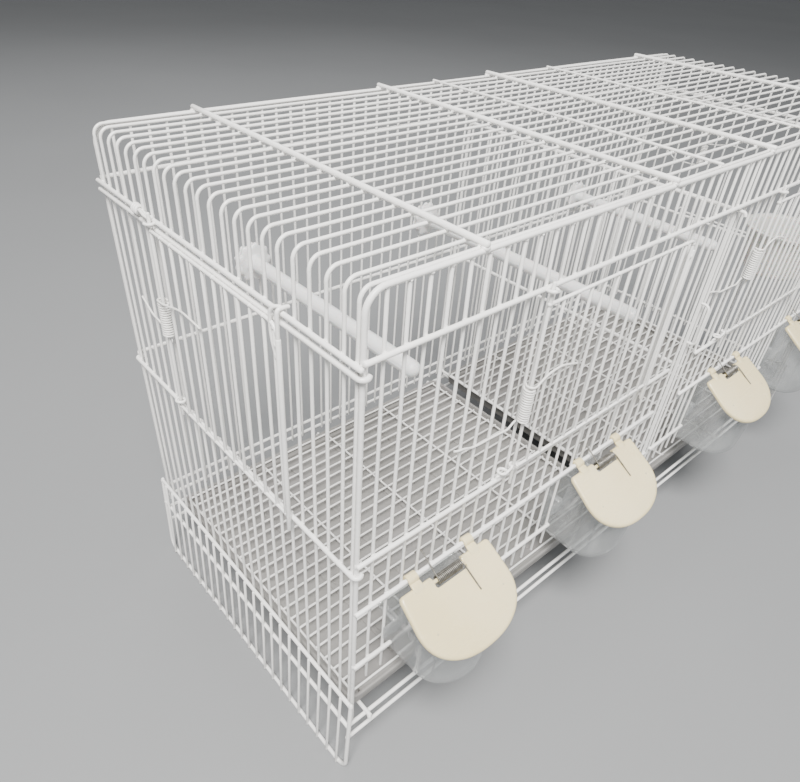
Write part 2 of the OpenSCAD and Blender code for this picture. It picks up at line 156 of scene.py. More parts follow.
class Build:
    """Collects shells in millimetres and makes one smooth object of them."""

    def __init__(self):
        self.v, self.f, self.n = [], [], 0

    def add(self, verts, faces):
        verts = np.asarray(verts, float).reshape(-1, 3)
        self.v.append(verts)
        n = self.n
        self.f += [tuple(i + n for i in f) for f in faces]
        self.n += len(verts)

    def tube(self, pts, d, sides=10, cap=(0.75, 0.75), closed=False, ref=None):
        """Round wire along pts. cap is the depth of each end's dome in radii, or None for a flat end."""
        pts = np.asarray(pts, float)
        r = np.full(len(pts), d / 2.0) if np.isscalar(d) else np.asarray(d, float) / 2.0
        if closed:
            t = np.array([unit(pts[(i + 1) % len(pts)] - pts[i - 1]) for i in range(len(pts))])
        else:
            for e, c in ((0, cap[0]), (-1, cap[1])):
                if c:
                    q = pts[1] - pts[0] if e == 0 else pts[-2] - pts[-1]
                    pts[e] = pts[e] + unit(q) * c * r[e]
            t = np.gradient(pts, axis=0)
            t = np.array([unit(q) for q in t])
        if ref is None:
            ref = np.array([0.0, 1.0, 0.0])
            if abs(t[0] @ ref) > 0.8:
                ref = np.array([1.0, 0.0, 0.0])
                if abs(t[0] @ ref) > 0.8:
                    ref = np.array([0.0, 0.0, 1.0])
        n = unit(np.asarray(ref, float) - t[0] * (t[0] @ ref))
        ns = [n]
        for i in range(1, len(pts)):
            n = ns[-1] - t[i] * (ns[-1] @ t[i])
            ns.append(unit(n))
        ns = np.array(ns)
        if closed:
            # spread the leftover twist along the loop
            n = ns[-1] - t[0] * (ns[-1] @ t[0])
            n = unit(n)
            a = math.atan2(np.cross(n, ns[0]) @ t[0], n @ ns[0])
            for i in range(len(pts)):
                w = a * i / len(pts)
                b = np.cross(t[i], ns[i])
                ns[i] = ns[i] * math.cos(w) + b * math.sin(w)
        bs = np.cross(t, ns)
        ang = np.arange(sides) * 2 * math.pi / sides
        c, s = np.cos(ang), np.sin(ang)
        rings = [pts[i] + r[i] * (np.outer(c, ns[i]) + np.outer(s, bs[i])) for i in range(len(pts))]
        order = list(range(len(pts)))
        verts, faces = [], []
        start, end = [], []
        if not closed:
            for e, cp, out in ((0, cap[0], start), (-1, cap[1], end)):
                if cp:
                    sgn = -1 if e == 0 else 1
                    for a in (math.radians(32), math.radians(62)):
                        out.append(pts[e] + sgn * t[e] * cp * r[e] * math.sin(a)
                                   + r[e] * math.cos(a) * (np.outer(c, ns[e]) + np.outer(s, bs[e])))
        rows = start[::-1] + rings + end
        for row in rows:
            verts.extend(row)
        m = len(rows)
        for i in range(m if closed else m - 1):
            a, b = i * sides, ((i + 1) % m) * sides
            for j in range(sides):
                k = (j + 1) % sides
                faces.append((a + j, a + k, b + k, b + j))
        if not closed:
            base = len(verts)
            tip0 = pts[0] - t[0] * (cap[0] or 0) * r[0]
            tip1 = pts[-1] + t[-1] * (cap[1] or 0) * r[-1]
            verts.extend([tip0, tip1])
            for j in range(sides):
                k = (j + 1) % sides
                faces.append((base, k, j))
                faces.append((base + 1, (m - 1) * sides + j, (m - 1) * sides + k))
        self.add(verts, faces)

    def rod(self, a, b, d, bow=0.22, sides=10, cap=(0.75, 0.75), step=55.0):
        """Straight wire with the small waviness of drawn wire. Its ends stay where they are."""
        a, b = np.asarray(a, float), np.asarray(b, float)
        l = np.linalg.norm(b - a)
        n = max(2, int(l / step) + 1)
        s = np.linspace(0, 1, n + 1)
        pts = a + np.outer(s, b - a)
        t = unit(b - a)
        u = unit(np.cross(t, [0.3, 0.5, 0.8]))
        w = np.cross(t, u)
        if bow and l > 40:
            amp = bow * min(1.0, l / 200.0)
            for q in (u, w):
                a1, a2 = RNG.normal(0, 1, 2)
                ph = RNG.uniform(0, 6.28)
                off = amp * (a1 * np.sin(math.pi * s) + 0.45 * a2 * np.sin(2 * math.pi * s * 1.5 + ph) * np.sin(math.pi * s))
                pts += np.outer(np.clip(off, -0.55, 0.55), q)
        self.tube(pts, d, sides, cap)

    def weld(self, p, size, wob=0.16):
        """Fillet of weld and paint round a crossing, as a small rounded lump."""
        v, f = ico()
        k = 1 + RNG.uniform(-wob, wob, 3)
        self.add(v * np.asarray(size, float) * k + np.asarray(p, float), f)

    def ring(self, c, r, d, axis="z", n=24, sides=8):
        a = np.arange(n) * 2 * math.pi / n
        z = np.zeros(n)
        q = {"z": (np.cos(a), np.sin(a), z), "y": (np.cos(a), z, np.sin(a)), "x": (z, np.cos(a), np.sin(a))}[axis]
        self.tube(np.array(c) + r * np.array(q).T, d, sides, closed=True, ref={"z": (0, 0, 1), "y": (0, 1, 0), "x": (1, 0, 0)}[axis])

    def mirrored(self, s):
        out = Build()
        for v in self.v:
            w = v.copy()
            if s:
                w[:, 0] *= -1
            out.v.append(w)
        out.f = [tuple(reversed(f)) for f in self.f] if s else list(self.f)
        out.n = self.n
        return out

    def moved(self, dx):
        self.v = [v + np.array([dx, 0.0, 0.0]) for v in self.v]
        return self

    def obj(self, name, body, material, replaces=(), slot=None, sharp=50):
        me = bpy.data.meshes.new(name)
        # weld lumps on the outermost wires stop at the CAD box
        co = np.clip(np.concatenate(self.v) * MM, np.array(CAD_BOX[0]), np.array(CAD_BOX[1]))
        me.from_pydata(co.tolist(), [], self.f)
        me.validate()
        me.polygons.foreach_set("use_smooth", [True] * len(me.polygons))
        if sharp:
            me.set_sharp_from_angle(angle=math.radians(sharp))
        me.materials.append(material)
        me.update()
        o = bpy.data.objects.new(name, me)
        bpy.context.scene.collection.objects.link(o)
        if body:
            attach(o, body)
        if replaces:
            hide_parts(*replaces)
        return o


def arc_xz(cx, y, cz, r, a0, a1, n=9):
    a = np.radians(np.linspace(a0, a1, n))
    return np.c_[cx + r * np.cos(a), np.full(n, y), cz + r * np.sin(a)]


def smooth_path(pts, n=8):
    """Catmull-Rom curve through the points, for hand-bent wire."""
    p = np.asarray(pts, float)
    p = np.vstack([2 * p[0] - p[1], p, 2 * p[-1] - p[-2]])
    out = []
    for i in range(1, len(p) - 2):
        for s in np.linspace(0, 1, n, endpoint=False):
            a, b, c, d = p[i - 1], p[i], p[i + 1], p[i + 2]
            out.append(0.5 * (2 * b + (c - a) * s + (2 * a - 5 * b + 4 * c - d) * s * s + (3 * b - a - 3 * c + d) * s ** 3))
    out.append(p[-2])
    return np.array(out)


# --------------------------------------------------------------------------
# Materials
# --------------------------------------------------------------------------
def srgb(r, g, b):
    return tuple(((c / 255 + 0.055) / 1.055) ** 2.4 if c / 255 > 0.04045 else c / 255 / 12.92 for c in (r, g, b)) + (1.0,)


class Mat:
    def __init__(self, name):
        self.m = bpy.data.materials.new(name)
        self.m.use_nodes = True
        self.t = self.m.node_tree
        self.n = self.t.nodes
        self.bsdf = self.n["Principled BSDF"]
        self.coord = self.n.new("ShaderNodeTexCoord")

    def link(self, a, b):
        self.t.links.new(a, b)

    def noise(self, scale, detail=3.0, rough=0.55, stretch=None, dist=0.0):
        t = self.n.new("ShaderNodeTexNoise")
        t.inputs["Scale"].default_value = scale
        t.inputs["Detail"].default_value = detail
        t.inputs["Roughness"].default_value = rough
        t.inputs["Distortion"].default_value = dist
        if stretch:
            mp = self.n.new("ShaderNodeMapping")
            mp.inputs["Scale"].default_value = stretch
            self.link(self.coord.outputs["Object"], mp.inputs["Vector"])
            self.link(mp.outputs["Vector"], t.inputs["Vector"])
        else:
            self.link(self.coord.outputs["Object"], t.inputs["Vector"])
        return t.outputs["Fac"]

    def voronoi(self, scale, feature="F1"):
        t = self.n.new("ShaderNodeTexVoronoi")
        t.feature = feature
        t.inputs["Scale"].default_value = scale
        self.link(self.coord.outputs["Object"], t.inputs["Vector"])
        return t.outputs["Distance"]

    def ramp(self, fac, stops):
        r = self.n.new("ShaderNodeValToRGB")
        e = r.color_ramp.elements
        e[0].position, e[0].color = stops[0]
        e[1].position, e[1].color = stops[-1]
        for pos, col in stops[1:-1]:
            x = e.new(pos)
            x.color = col
        self.link(fac, r.inputs["Fac"])
        return r.outputs["Color"]

    def mix(self, fac, a, b, mode="MIX"):
        m = self.n.new("ShaderNodeMix")
        m.data_type = "RGBA"
        m.blend_type = mode
        for key, val in (("Factor", fac), ("A", a), ("B", b)):
            sock = [s for s in m.inputs if s.name == key and (s.type == ("VALUE" if key == "Factor" else "RGBA"))][0]
            if hasattr(val, "links"):
                self.link(val, sock)
            else:
                sock.default_value = val
        return [s for s in m.outputs if s.type == "RGBA"][0]

    def rng(self, fac, lo, hi, a=0.0, b=1.0):
        m = self.n.new("ShaderNodeMapRange")
        m.inputs["From Min"].default_value = a
        m.inputs["From Max"].default_value = b
        m.inputs["To Min"].default_value = lo
        m.inputs["To Max"].default_value = hi
        self.link(fac, m.inputs["Value"])
        return m.outputs["Result"]

    def math(self, op, a, b):
        m = self.n.new("ShaderNodeMath")
        m.operation = op
        for i, v in enumerate((a, b)):
            if hasattr(v, "links"):
                self.link(v, m.inputs[i])
            else:
                m.inputs[i].default_value = v
        return m.outputs["Value"]

    def bump(self, height, strength, dist, after=None):
        b = self.n.new("ShaderNodeBump")
        b.inputs["Strength"].default_value = strength
        b.inputs["Distance"].default_value = dist
        self.link(height, b.inputs["Height"])
        if after is not None:
            self.link(after, b.inputs["Normal"])
        return b.outputs["Normal"]

    def xyz(self):
        s = self.n.new("ShaderNodeSeparateXYZ")
        self.link(self.coord.outputs["Object"], s.inputs["Vector"])
        return s.outputs

    def set(self, **kw):
        names = {"rough": "Roughness", "metal": "Metallic", "ior": "IOR", "coat": "Coat Weight", "coat_rough": "Coat Roughness",
                 "trans": "Transmission Weight", "sss": "Subsurface Weight", "sss_scale": "Subsurface Scale",
                 "spec": "Specular IOR Level", "sheen": "Sheen Weight", "alpha": "Alpha"}
        for k, v in kw.items():
            self.bsdf.inputs[names[k]].default_value = v
        return self


def painted_wire(name, light, dark, dirt, rough=0.34, grime=0.0):
    m = Mat(name)
    z = m.xyz()["Z"]
    big = m.noise(9.0, 4.0)
    col = m.mix(m.rng(big, 0.0, 1.0, 0.35, 0.7), light, dark)
    spots = m.noise(160.0, 4.0, 0.7)
    specks = m.rng(spots, 0.0, 0.55, 0.62, 0.78)
    low = m.rng(z, 0.55, 0.06 + grime, 0.0, 0.16)
    col = m.mix(m.math("MULTIPLY", specks, low), col, dirt)
    m.link(col, m.bsdf.inputs["Base Color"])
    r = m.noise(70.0, 3.0)
    m.link(m.rng(r, rough - 0.08, rough + 0.14, 0.3, 0.7), m.bsdf.inputs["Roughness"])
    peel = m.noise(900.0, 2.0, 0.5)
    lumps = m.noise(240.0, 2.0, 0.5)
    n1 = m.bump(lumps, 0.35, 0.0006)
    n2 = m.bump(peel, 0.22, 0.0002, n1)
    m.link(n2, m.bsdf.inputs["Normal"])
    m.set(coat=0.25, coat_rough=0.18, ior=1.5)
    return m.m


M_WIRE = painted_wire("white_paint_wire", (0.90, 0.89, 0.865, 1), (0.83, 0.82, 0.80, 1), (0.45, 0.42, 0.36, 1))
M_SPRINGW = painted_wire("white_paint_spring", (0.86, 0.85, 0.82, 1), (0.76, 0.75, 0.72, 1), (0.5, 0.46, 0.4, 1), rough=0.3, grime=0.2)


def make_ivory():
    m = Mat("ivory_moulded_plastic")
    big = m.noise(14.0, 3.0)
    col = m.mix(m.rng(big, 0.0, 1.0, 0.3, 0.7), (0.79, 0.68, 0.405, 1), (0.73, 0.62, 0.35, 1))
    mot = m.noise(120.0, 4.0, 0.65)
    col = m.mix(m.rng(mot, 0.0, 0.35, 0.55, 0.8), col, (0.65, 0.57, 0.38, 1))
    m.link(col, m.bsdf.inputs["Base Color"])
    scratch = m.noise(220.0, 3.0, 0.6, stretch=(0.12, 1.0, 1.0), dist=0.4)
    r = m.math("ADD", m.rng(m.noise(60.0, 3.0), 0.19, 0.31, 0.3, 0.7), m.rng(scratch, 0.0, 0.16, 0.6, 0.72))
    m.link(r, m.bsdf.inputs["Roughness"])
    n1 = m.bump(m.noise(30.0, 2.0), 0.25, 0.0015)
    n2 = m.bump(scratch, 0.12, 0.0002, n1)
    n3 = m.bump(m.noise(1400.0, 2.0), 0.05, 0.0001, n2)
    m.link(n3, m.bsdf.inputs["Normal"])
    m.set(ior=1.48, coat=0.15, coat_rough=0.08, sss=0.12, sss_scale=0.004)
    m.bsdf.inputs["Subsurface Radius"].default_value = (1.0, 0.8, 0.5)
    return m.m


def make_clear():
    """Thin clear moulding: seen straight through, glossy at the edges, a little haze and scratches."""
    m = Mat("clear_styrene")
    haze = m.noise(45.0, 4.0, 0.6)
    scratch = m.noise(300.0, 3.0, 0.65, stretch=(1.0, 1.0, 0.1), dist=0.6)
    n1 = m.bump(m.noise(38.0, 2.0), 0.35, 0.0012)
    n2 = m.bump(scratch, 0.12, 0.0002, n1)
    lw = m.n.new("ShaderNodeLayerWeight")
    lw.inputs["Blend"].default_value = 0.5
    m.link(n2, lw.inputs["Normal"])
    edge = m.math("POWER", lw.outputs["Facing"], 4.0)
    gloss_fac = m.math("ADD", m.math("MULTIPLY", edge, 0.9), 0.05)
    body_fac = m.math("ADD", m.math("ADD", m.rng(haze, 0.08, 0.19, 0.35, 0.75), m.rng(scratch, 0.0, 0.12, 0.6, 0.72)),
                      m.math("MULTIPLY", edge, 0.35))
    clear = m.n.new("ShaderNodeBsdfTransparent")
    tone = m.mix(m.rng(haze, 0.0, 1.0, 0.35, 0.75), (0.965, 0.97, 0.97, 1), (0.92, 0.93, 0.93, 1))
    # painted shade: the see-through colour is darkened at grazing angles, standing in for the dark edges that
    # refraction gives
    m.link(m.mix(m.math("POWER", lw.outputs["Facing"], 2.5), tone, (0.42, 0.45, 0.46, 1)), clear.inputs["Color"])
    gloss = m.n.new("ShaderNodeBsdfGlossy")
    m.link(m.rng(scratch, 0.03, 0.22, 0.55, 0.75), gloss.inputs["Roughness"])
    m.link(n2, gloss.inputs["Normal"])
    m.link(m.mix(m.rng(haze, 0.0, 1.0, 0.35, 0.75), (0.90, 0.905, 0.905, 1), (0.80, 0.81, 0.81, 1)), m.bsdf.inputs["Base Color"])
    m.link(m.rng(haze, 0.12, 0.24, 0.4, 0.8), m.bsdf.inputs["Roughness"])
    m.link(n2, m.bsdf.inputs["Normal"])
    m.set(ior=1.5, sss=0.0)
    a = m.n.new("ShaderNodeMixShader")
    m.link(gloss_fac, a.inputs[0])
    m.link(clear.outputs[0], a.inputs[1])
    m.link(gloss.outputs[0], a.inputs[2])
    b = m.n.new("ShaderNodeMixShader")
    m.link(body_fac, b.inputs[0])
    m.link(a.outputs[0], b.inputs[1])
    m.link(m.bsdf.outputs[0], b.inputs[2])
    m.link(b.outputs[0], m.n["Material Output"].inputs["Surface"])
    return m.m


def make_steel():
    m = Mat("oiled_spring_steel")
    big = m.noise(300.0, 4.0, 0.6)
    col = m.mix(m.rng(big, 0.0, 1.0, 0.35, 0.7), (0.27, 0.26, 0.235, 1), (0.13, 0.12, 0.105, 1))
    m.link(col, m.bsdf.inputs["Base Color"])
    m.link(m.rng(m.noise(500.0, 3.0), 0.28, 0.5, 0.3, 0.7), m.bsdf.inputs["Roughness"])
    m.link(m.bump(m.noise(1800.0, 2.0), 0.15, 0.0001), m.bsdf.inputs["Normal"])
    m.set(metal=0.75)
    return m.m


def make_tray():
    m = Mat("grey_tray_plastic")
    big = m.noise(5.0, 5.0, 0.6)
    col = m.mix(m.rng(big, 0.0, 1.0, 0.3, 0.7), (0.27, 0.262, 0.248, 1), (0.215, 0.208, 0.197, 1))
    tint = m.noise(13.0, 3.0)
    col = m.mix(m.rng(tint, 0.0, 0.3, 0.45, 0.75), col, (0.245, 0.228, 0.238, 1))
    stain = m.noise(70.0, 5.0, 0.7)
    col = m.mix(m.rng(stain, 0.0, 0.35, 0.56, 0.8), col, (0.15, 0.135, 0.115, 1))
    m.link(col, m.bsdf.inputs["Base Color"])
    grain = m.noise(1100.0, 2.0, 0.5)
    scuff = m.noise(130.0, 3.0, 0.6, stretch=(1.0, 0.15, 1.0), dist=0.5)
    m.link(m.math("ADD", m.rng(big, 0.42, 0.56, 0.3, 0.7), m.rng(scuff, 0.0, 0.15, 0.55, 0.7)), m.bsdf.inputs["Roughness"])
    n1 = m.bump(m.noise(18.0, 2.0), 0.3, 0.002)
    n2 = m.bump(grain, 0.12, 0.0002, n1)
    m.link(n2, m.bsdf.inputs["Normal"])
    m.set(ior=1.48)
    return m.m


def make_white_plastic():
    m = Mat("white_moulded_plastic")
    big = m.noise(20.0, 3.0)
    col = m.mix(m.rng(big, 0.0, 1.0, 0.3, 0.7), (0.85, 0.845, 0.835, 1), (0.78, 0.77, 0.765, 1))
    scuff = m.noise(180.0, 4.0, 0.7)
    col = m.mix(m.rng(scuff, 0.0, 0.4, 0.6, 0.78), col, (0.56, 0.53, 0.49, 1))
    m.link(col, m.bsdf.inputs["Base Color"])
    m.link(m.rng(m.noise(90.0, 3.0), 0.28, 0.46, 0.3, 0.7), m.bsdf.inputs["Roughness"])
    n1 = m.bump(m.noise(60.0, 2.0), 0.25, 0.0012)
    n2 = m.bump(m.noise(900.0, 2.0), 0.12, 0.0002, n1)
    m.link(n2, m.bsdf.inputs["Normal"])
    m.set(ior=1.48, sss=0.08, sss_scale=0.003)
    return m.m


def make_nest():
    m = Mat("frosted_nest_plastic")
    big = m.noise(22.0, 3.0)
    col = m.mix(m.rng(big, 0.0, 1.0, 0.3, 0.7), (0.84, 0.825, 0.79, 1), (0.75, 0.735, 0.69, 1))
    m.link(col, m.bsdf.inputs["Base Color"])
    m.link(m.rng(m.noise(70.0, 3.0), 0.3, 0.5, 0.3, 0.7), m.bsdf.inputs["Roughness"])
    n1 = m.bump(m.noise(40.0, 2.0), 0.3, 0.0015)
    m.link(n1, m.bsdf.inputs["Normal"])
    m.set(ior=1.48, trans=0.3, sss=0.15, sss_scale=0.004)
    return m.m


M_IVORY = make_ivory()
M_CLEAR = make_clear()
M_STEEL = make_steel()
M_TRAY = make_tray()
M_WHITE = make_white_plastic()
M_NEST = make_nest()


# --------------------------------------------------------------------------
# Wire panels
# --------------------------------------------------------------------------
def weld_y(b, x, y, z, s=1.0):
    b.weld((x, y, z), (1.9 * s, 0.95 * s, 1.9 * s))


def weld_x(b, x, y, z, s=1.0):
    b.weld((x, y, z), (0.95 * s, 1.9 * s, 1.9 * s))


def weld_z(b, x, y, z, s=1.0):
    b.weld((x, y, z), (1.9 * s, 1.9 * s, 0.95 * s))


def panel_frame(b, y, zb):
    zt = TOP - 0.8
    r = BEND
    left = np.vstack([[[-PX, y, zb]], [[-PX, y, zb + (zt - r - zb) * s] for s in (0.33, 0.66)],
                      arc_xz(-PX + r, y, zt - r, r, 180, 90, 10)])
    n = 14
    mid = np.array([[-PX + r + (2 * PX - 2 * r) * i / n, y, zt + (0.35 * math.sin(3.1 * i / n * 3.14159) if 0 < i < n else 0)] for i in range(1, n)])
    right = np.vstack([arc_xz(PX - r, y, zt - r, r, 90, 0, 10), [[PX, y, zb + (zt - r - zb) * s] for s in (0.66, 0.33)], [[PX, y, zb]]])
    b.tube(np.vstack([left, mid, right]), RAIL, 12, ref=(0, 1, 0))


def eye(b, c, side, towards_y):
    """Hinge eye: wire wound round the hinge wire."""
    a = np.radians(np.linspace(-60, 265, 22))
    sx = side
    pts = [(c[0] + sx * 3.0 * math.cos(t), c[1] + towards_y * 3.0 * math.sin(t), c[2] - 0.5 + i * 0.045) for i, t in enumerate(a)]
    b.tube(pts, WIRE, 8, ref=(0, 0, 1))


def front_grille():
    b = Build()
    zt = TOP - 0.8
    yr = YF - LAY
    yw = YF - 0.75
    panel_frame(b, YF, 62)

    def cut(k):
        return any(abs(k - c) < 3 for c in FEEDERS)

    def door(k):
        return any(d + 1 <= k <= d + 12 for d in DOORS)

    segs = [(0, 2), (9, 16), (23, 27.6), (28.4, 33), (40, 47), (54, 56)]
    ks = [k for k in range(1, NX) if k != 28] + [27.6, 28.4]
    for k in ks:
        x = kx(k)
        lo = LID_Z if cut(k) and k not in (27.6, 28.4) else FOOT_Z
        jx = RNG.uniform(-0.25, 0.25)
        if door(k):
            b.rod([x + jx, YF, lo], [x + jx, YF, FRONT_MID + 1], FINE)
            b.rod([x + jx, YF, UPPER - 1], [x + jx, YF, zt], FINE)
        else:
            b.rod([x + jx, YF, lo], [x + jx, YF, zt], FINE, bow=0.3)
        weld_y(b, x + jx, yw, UPPER)
        if not 26.4 < k < 29.6:
            weld_y(b, x + jx, yw, FRONT_MID)
            weld_y(b, x + jx, yw, LID_Z)
        b.weld((x + jx, YF, zt - 1.3), (1.7, 1.45, 1.1))
        if lo < LID_Z and any(s[0] - 0.1 <= k <= s[1] + 0.1 for s in segs):
            weld_y(b, x + jx, yw, THIRD_Z)
    b.rod([-PX - 1.4, yr, UPPER], [PX + 1.4, yr, UPPER], RAIL, sides=12, bow=0.15, cap=(0.5, 0.5))
    for s in (-1, 1):
        for z in (FRONT_MID, LID_Z):
            b.rod([s * (PX + 1.4), yr, z], [s * 21.25, yr, z], RAIL, sides=12, bow=0.15, cap=(0.5, 0.7))
        for z in (UPPER, FRONT_MID, LID_Z, THIRD_Z):
            b.weld((s * PX, YF - 1.0, z), (2.1, 1.3, 2.2))
    for s in segs:
        x0 = -PX - 1.4 if s[0] == 0 else kx(s[0]) - 1.2
        x1 = PX + 1.4 if s[1] == 56 else kx(s[1]) + (6.5 if s[1] == 2 else 1.2)
        b.rod([x0, yr, THIRD_Z], [x1, yr, THIRD_Z], RAIL, sides=12, bow=0.1)
    for k in DOORS:
        x = kx(k)
        eye(b, (x, DOOR_Y, UPPER), 1, 1)
        b.weld((x + 1.0, DOOR_Y + 2.9, UPPER), (2.2, 1.2, 1.5))
        # the lower eye is a double loop that stands on the rail
        a = np.radians(np.linspace(-40, 300, 22))
        big = [(x - 7.4 + 3.0 * math.cos(q), DOOR_Y + 2.2 + 3.0 * math.sin(q), FRONT_MID + 5.6 + 0.05 * i) for i, q in enumerate(a)]
        a = np.radians(np.linspace(200, -100, 20))
        small = [(x + 2.5 * math.cos(q), DOOR_Y + 2.5 * math.sin(q), FRONT_MID + 9.6 - 0.06 * i) for i, q in enumerate(a)]
        tail = [(x - 10.8, yr - 0.2, FRONT_MID + 0.8), (x - 10.9, yr - 0.5, FRONT_MID + 3.2)]
        b.tube(smooth_path(tail + big[::3] + small[::3], 4), 2.0, 8)
        b.weld((x - 10.8, yr - 0.2, FRONT_MID + 1.2), (1.8, 1.3, 1.8))
    b.obj("front_grille_wires", "root", M_WIRE, ["front_grille"], "wire")


def back_grille():
    b = Build()
    zt = TOP - 0.8
    panel_frame(b, YB, 64)
    rails = (UPPER, MID, MID - 11.7 * P, MID - 12.7 * P)
    for k in range(1, NX):
        x = kx(k) + RNG.uniform(-0.3, 0.3)
        b.rod([x, YB, 66], [x, YB, zt], FINE, bow=0.3)
        for z in rails:
            weld_y(b, x, YB + 0.75, z)
        b.weld((x, YB, zt - 1.3), (1.7, 1.45, 1.1))
    for z in rails:
        b.rod([-PX - 1.4, YB + LAY, z], [PX + 1.4, YB + LAY, z], RAIL, sides=12, bow=0.15, cap=(0.5, 0.5))
        for s in (-1, 1):
            b.weld((s * PX, YB + 1.0, z), (2.1, 1.3, 2.2))
    b.obj("back_grille_wires", "root", M_WIRE, ["back_grille"], "wire")


def top_grille():
    b = Build()
    n = 16
    for k in range(NY + 1):
        y = hoop_y(k)
        x0, x1 = -HX + HOOP_R, HX - HOOP_R
        s = np.linspace(0, 1, n + 1)[1:-1]
        a1, a2, a3 = RNG.normal(0, 0.28, 3)
        off = np.clip(a1 * np.sin(math.pi * s) + a2 * np.sin(2 * math.pi * s) + a3 * np.sin(5 * math.pi * s) * 0.5, -0.6, 0.6)
        if k in (0, NY):
            off *= 0.1
        mid = np.c_[x0 + (x1 - x0) * s, y + off, np.full(len(s), TOP) - np.abs(off) * 0.2]
        pts = np.vstack([arc_xz(-HX + HOOP_R, y, TOP - HOOP_R, HOOP_R, 180, 90, 9), mid,
                         arc_xz(HX - HOOP_R, y, TOP - HOOP_R, HOOP_R, 90, 0, 9)])
        b.tube(pts, FINE, 10, cap=(None, None), ref=(0, 1, 0))
    zb = TOP + RW + BAR / 2 - 0.3
    zt = TOP + RW + WIRE / 2 - 0.3
    for q in (5.67, 19.1, 29.8, 50.33):
        x = kx(q)
        n = 12
        y = np.linspace(YF - RR - 0.5, YB + RR + 0.5, n + 1)
        pts = np.c_[x + 0.25 * np.sin(y / 60.0 + q), y, np.full(n + 1, zb)]
        b.tube(pts, BAR, 12, cap=(0.45, 0.45), ref=(1, 0, 0))
        for k in range(NY + 1):
            weld_z(b, x, hoop_y(k), TOP + 1.0, 1.1)
        # the ends are flattened over the panel frames
        for ye in (YF, YB):
            b.weld((x, ye, TOP + 0.6), (3.2, 2.3, 1.9), 0.1)
    for q in (24, 36.9):
        x = kx(q)
        b.rod([x, YF + 1, zt], [x, YB - 1, zt], FINE, bow=0.2)
        for k in range(NY + 1):
            weld_z(b, x, hoop_y(k), TOP + 0.8, 0.85)
    b.obj("top_grille_wires", "root", M_WIRE, ["top_grille"], "wire")


def hook_curve(xc, yc, r, a0, a1, z, dz=0.0, n=12):
    a = np.radians(np.linspace(a0, a1, n))
    return np.c_[xc + r * np.cos(a), yc + r * np.sin(a), z + np.linspace(0, dz, n)]


def end_grille(s, name, node):
    b = Build()
    zt = TOP - HOOP_R
    xr = -HX - LAY
    xw = -HX - 0.75
    rails = (UPPER - 2, UPPER - 7.5, MID - 4.5)
    for k in range(NY + 1):
        y = hoop_y(k)
        if 5 <= k <= 15:
            parts = [(HOOP_Z, MID - 4.4, 0.75, 0.75), (UPPER - 8.5, zt, 0.75, None)]
        else:
            parts = [(HOOP_Z, zt, 0.75, None)]
        for z0, z1, c0, c1 in parts:
            m = max(2, int((z1 - z0) / 50) + 1)
            q = np.linspace(0, 1, m + 1)
            a1, a2 = RNG.normal(0, 0.32, 2) * min(1, (z1 - z0) / 150)
            off = np.clip(a1 * np.sin(math.pi * q) + a2 * np.sin(2 * math.pi * q), -0.6, 0.6)
            if k in (0, NY):
                off *= 0.1
            pts = np.c_[np.full(m + 1, -HX) + off * 0.3, y + off, z0 + (z1 - z0) * q]
            b.tube(pts, FINE, 10, cap=(c0, c1), ref=(0, 1, 0))
        for z in rails:
            weld_x(b, xw, y, z)
    cr = -(PX - (HX + LAY))
    b.rod([xr, YF - 3.5, UPPER - 2], [xr, YB + 4.2, UPPER - 2], RAIL, sides=12, bow=0.1)
    for z, back in ((UPPER - 7.5, False), (MID - 4.5, True)):
        ys = np.linspace(YF, YB if back else YB + 3, 8)
        line = np.c_[np.full(8, xr), ys, np.full(8, z)]
        front = hook_curve(-PX, YF, cr, 340, 180, z, 0.0, 14)
        pts = np.vstack([front[:-1], line])
        if back:
            pts = np.vstack([line[:-1], hook_curve(-PX, YB, cr, 180, 20, z, 0.0, 14)])
            pts = np.vstack([front[:-1], pts])
        b.tube(pts, RAIL, 12, ref=(0, 0, 1))
    # eyes for the hinge wire: the upper one is wound round its rail, the lower one stands on it
    yh = ky(15.5)
    a = np.linspace(0, 2.6 * 2 * math.pi, 40)
    wrap = np.c_[xr + 2.55 * np.cos(a), yh + 26.5 - 6.5 * a / a[-1], UPPER - 2 + 2.55 * np.sin(a)]
    tail = [(xr - 1.6, yh + 17.0, UPPER - 0.4), (xr - 2.2, yh + 10.0, UPPER - 1.2), (xr - 1.6, yh + 4.6, UPPER - 1.9)]
    a = np.radians(np.linspace(60, -235, 18))
    loop = [(-DOOR_X + 3.0 * math.cos(q), yh + 3.0 * math.sin(q), UPPER - 2.0 - 0.04 * i) for i, q in enumerate(a)]
    b.tube(np.vstack([wrap, smooth_path([tuple(wrap[-1])] + tail + loop[::2], 4)[1:]]), 1.9, 8)
    b.weld((xr - 0.6, yh + 3.0, UPPER - 2), (1.5, 2.0, 1.7))
    zl = MID + 4.0
    a = np.radians(np.linspace(35, -300, 20))
    loop = [(-DOOR_X + 3.0 * math.cos(q), yh + 3.0 * math.sin(q), zl + 0.05 * i) for i, q in enumerate(a)]
    b.tube(smooth_path([(xr - 0.2, yh + 8.5, MID - 4.0), (xr - 0.2, yh + 7.6, MID - 0.8), (xr - 0.6, yh + 5.0, zl - 1.0)] + loop[::2], 4), 2.0, 8)
    b.weld((xr - 0.2, yh + 8.4, MID - 3.6), (1.7, 2.1, 1.6))
    b.mirrored(s).obj(name, "root", M_WIRE, [node], "wire")


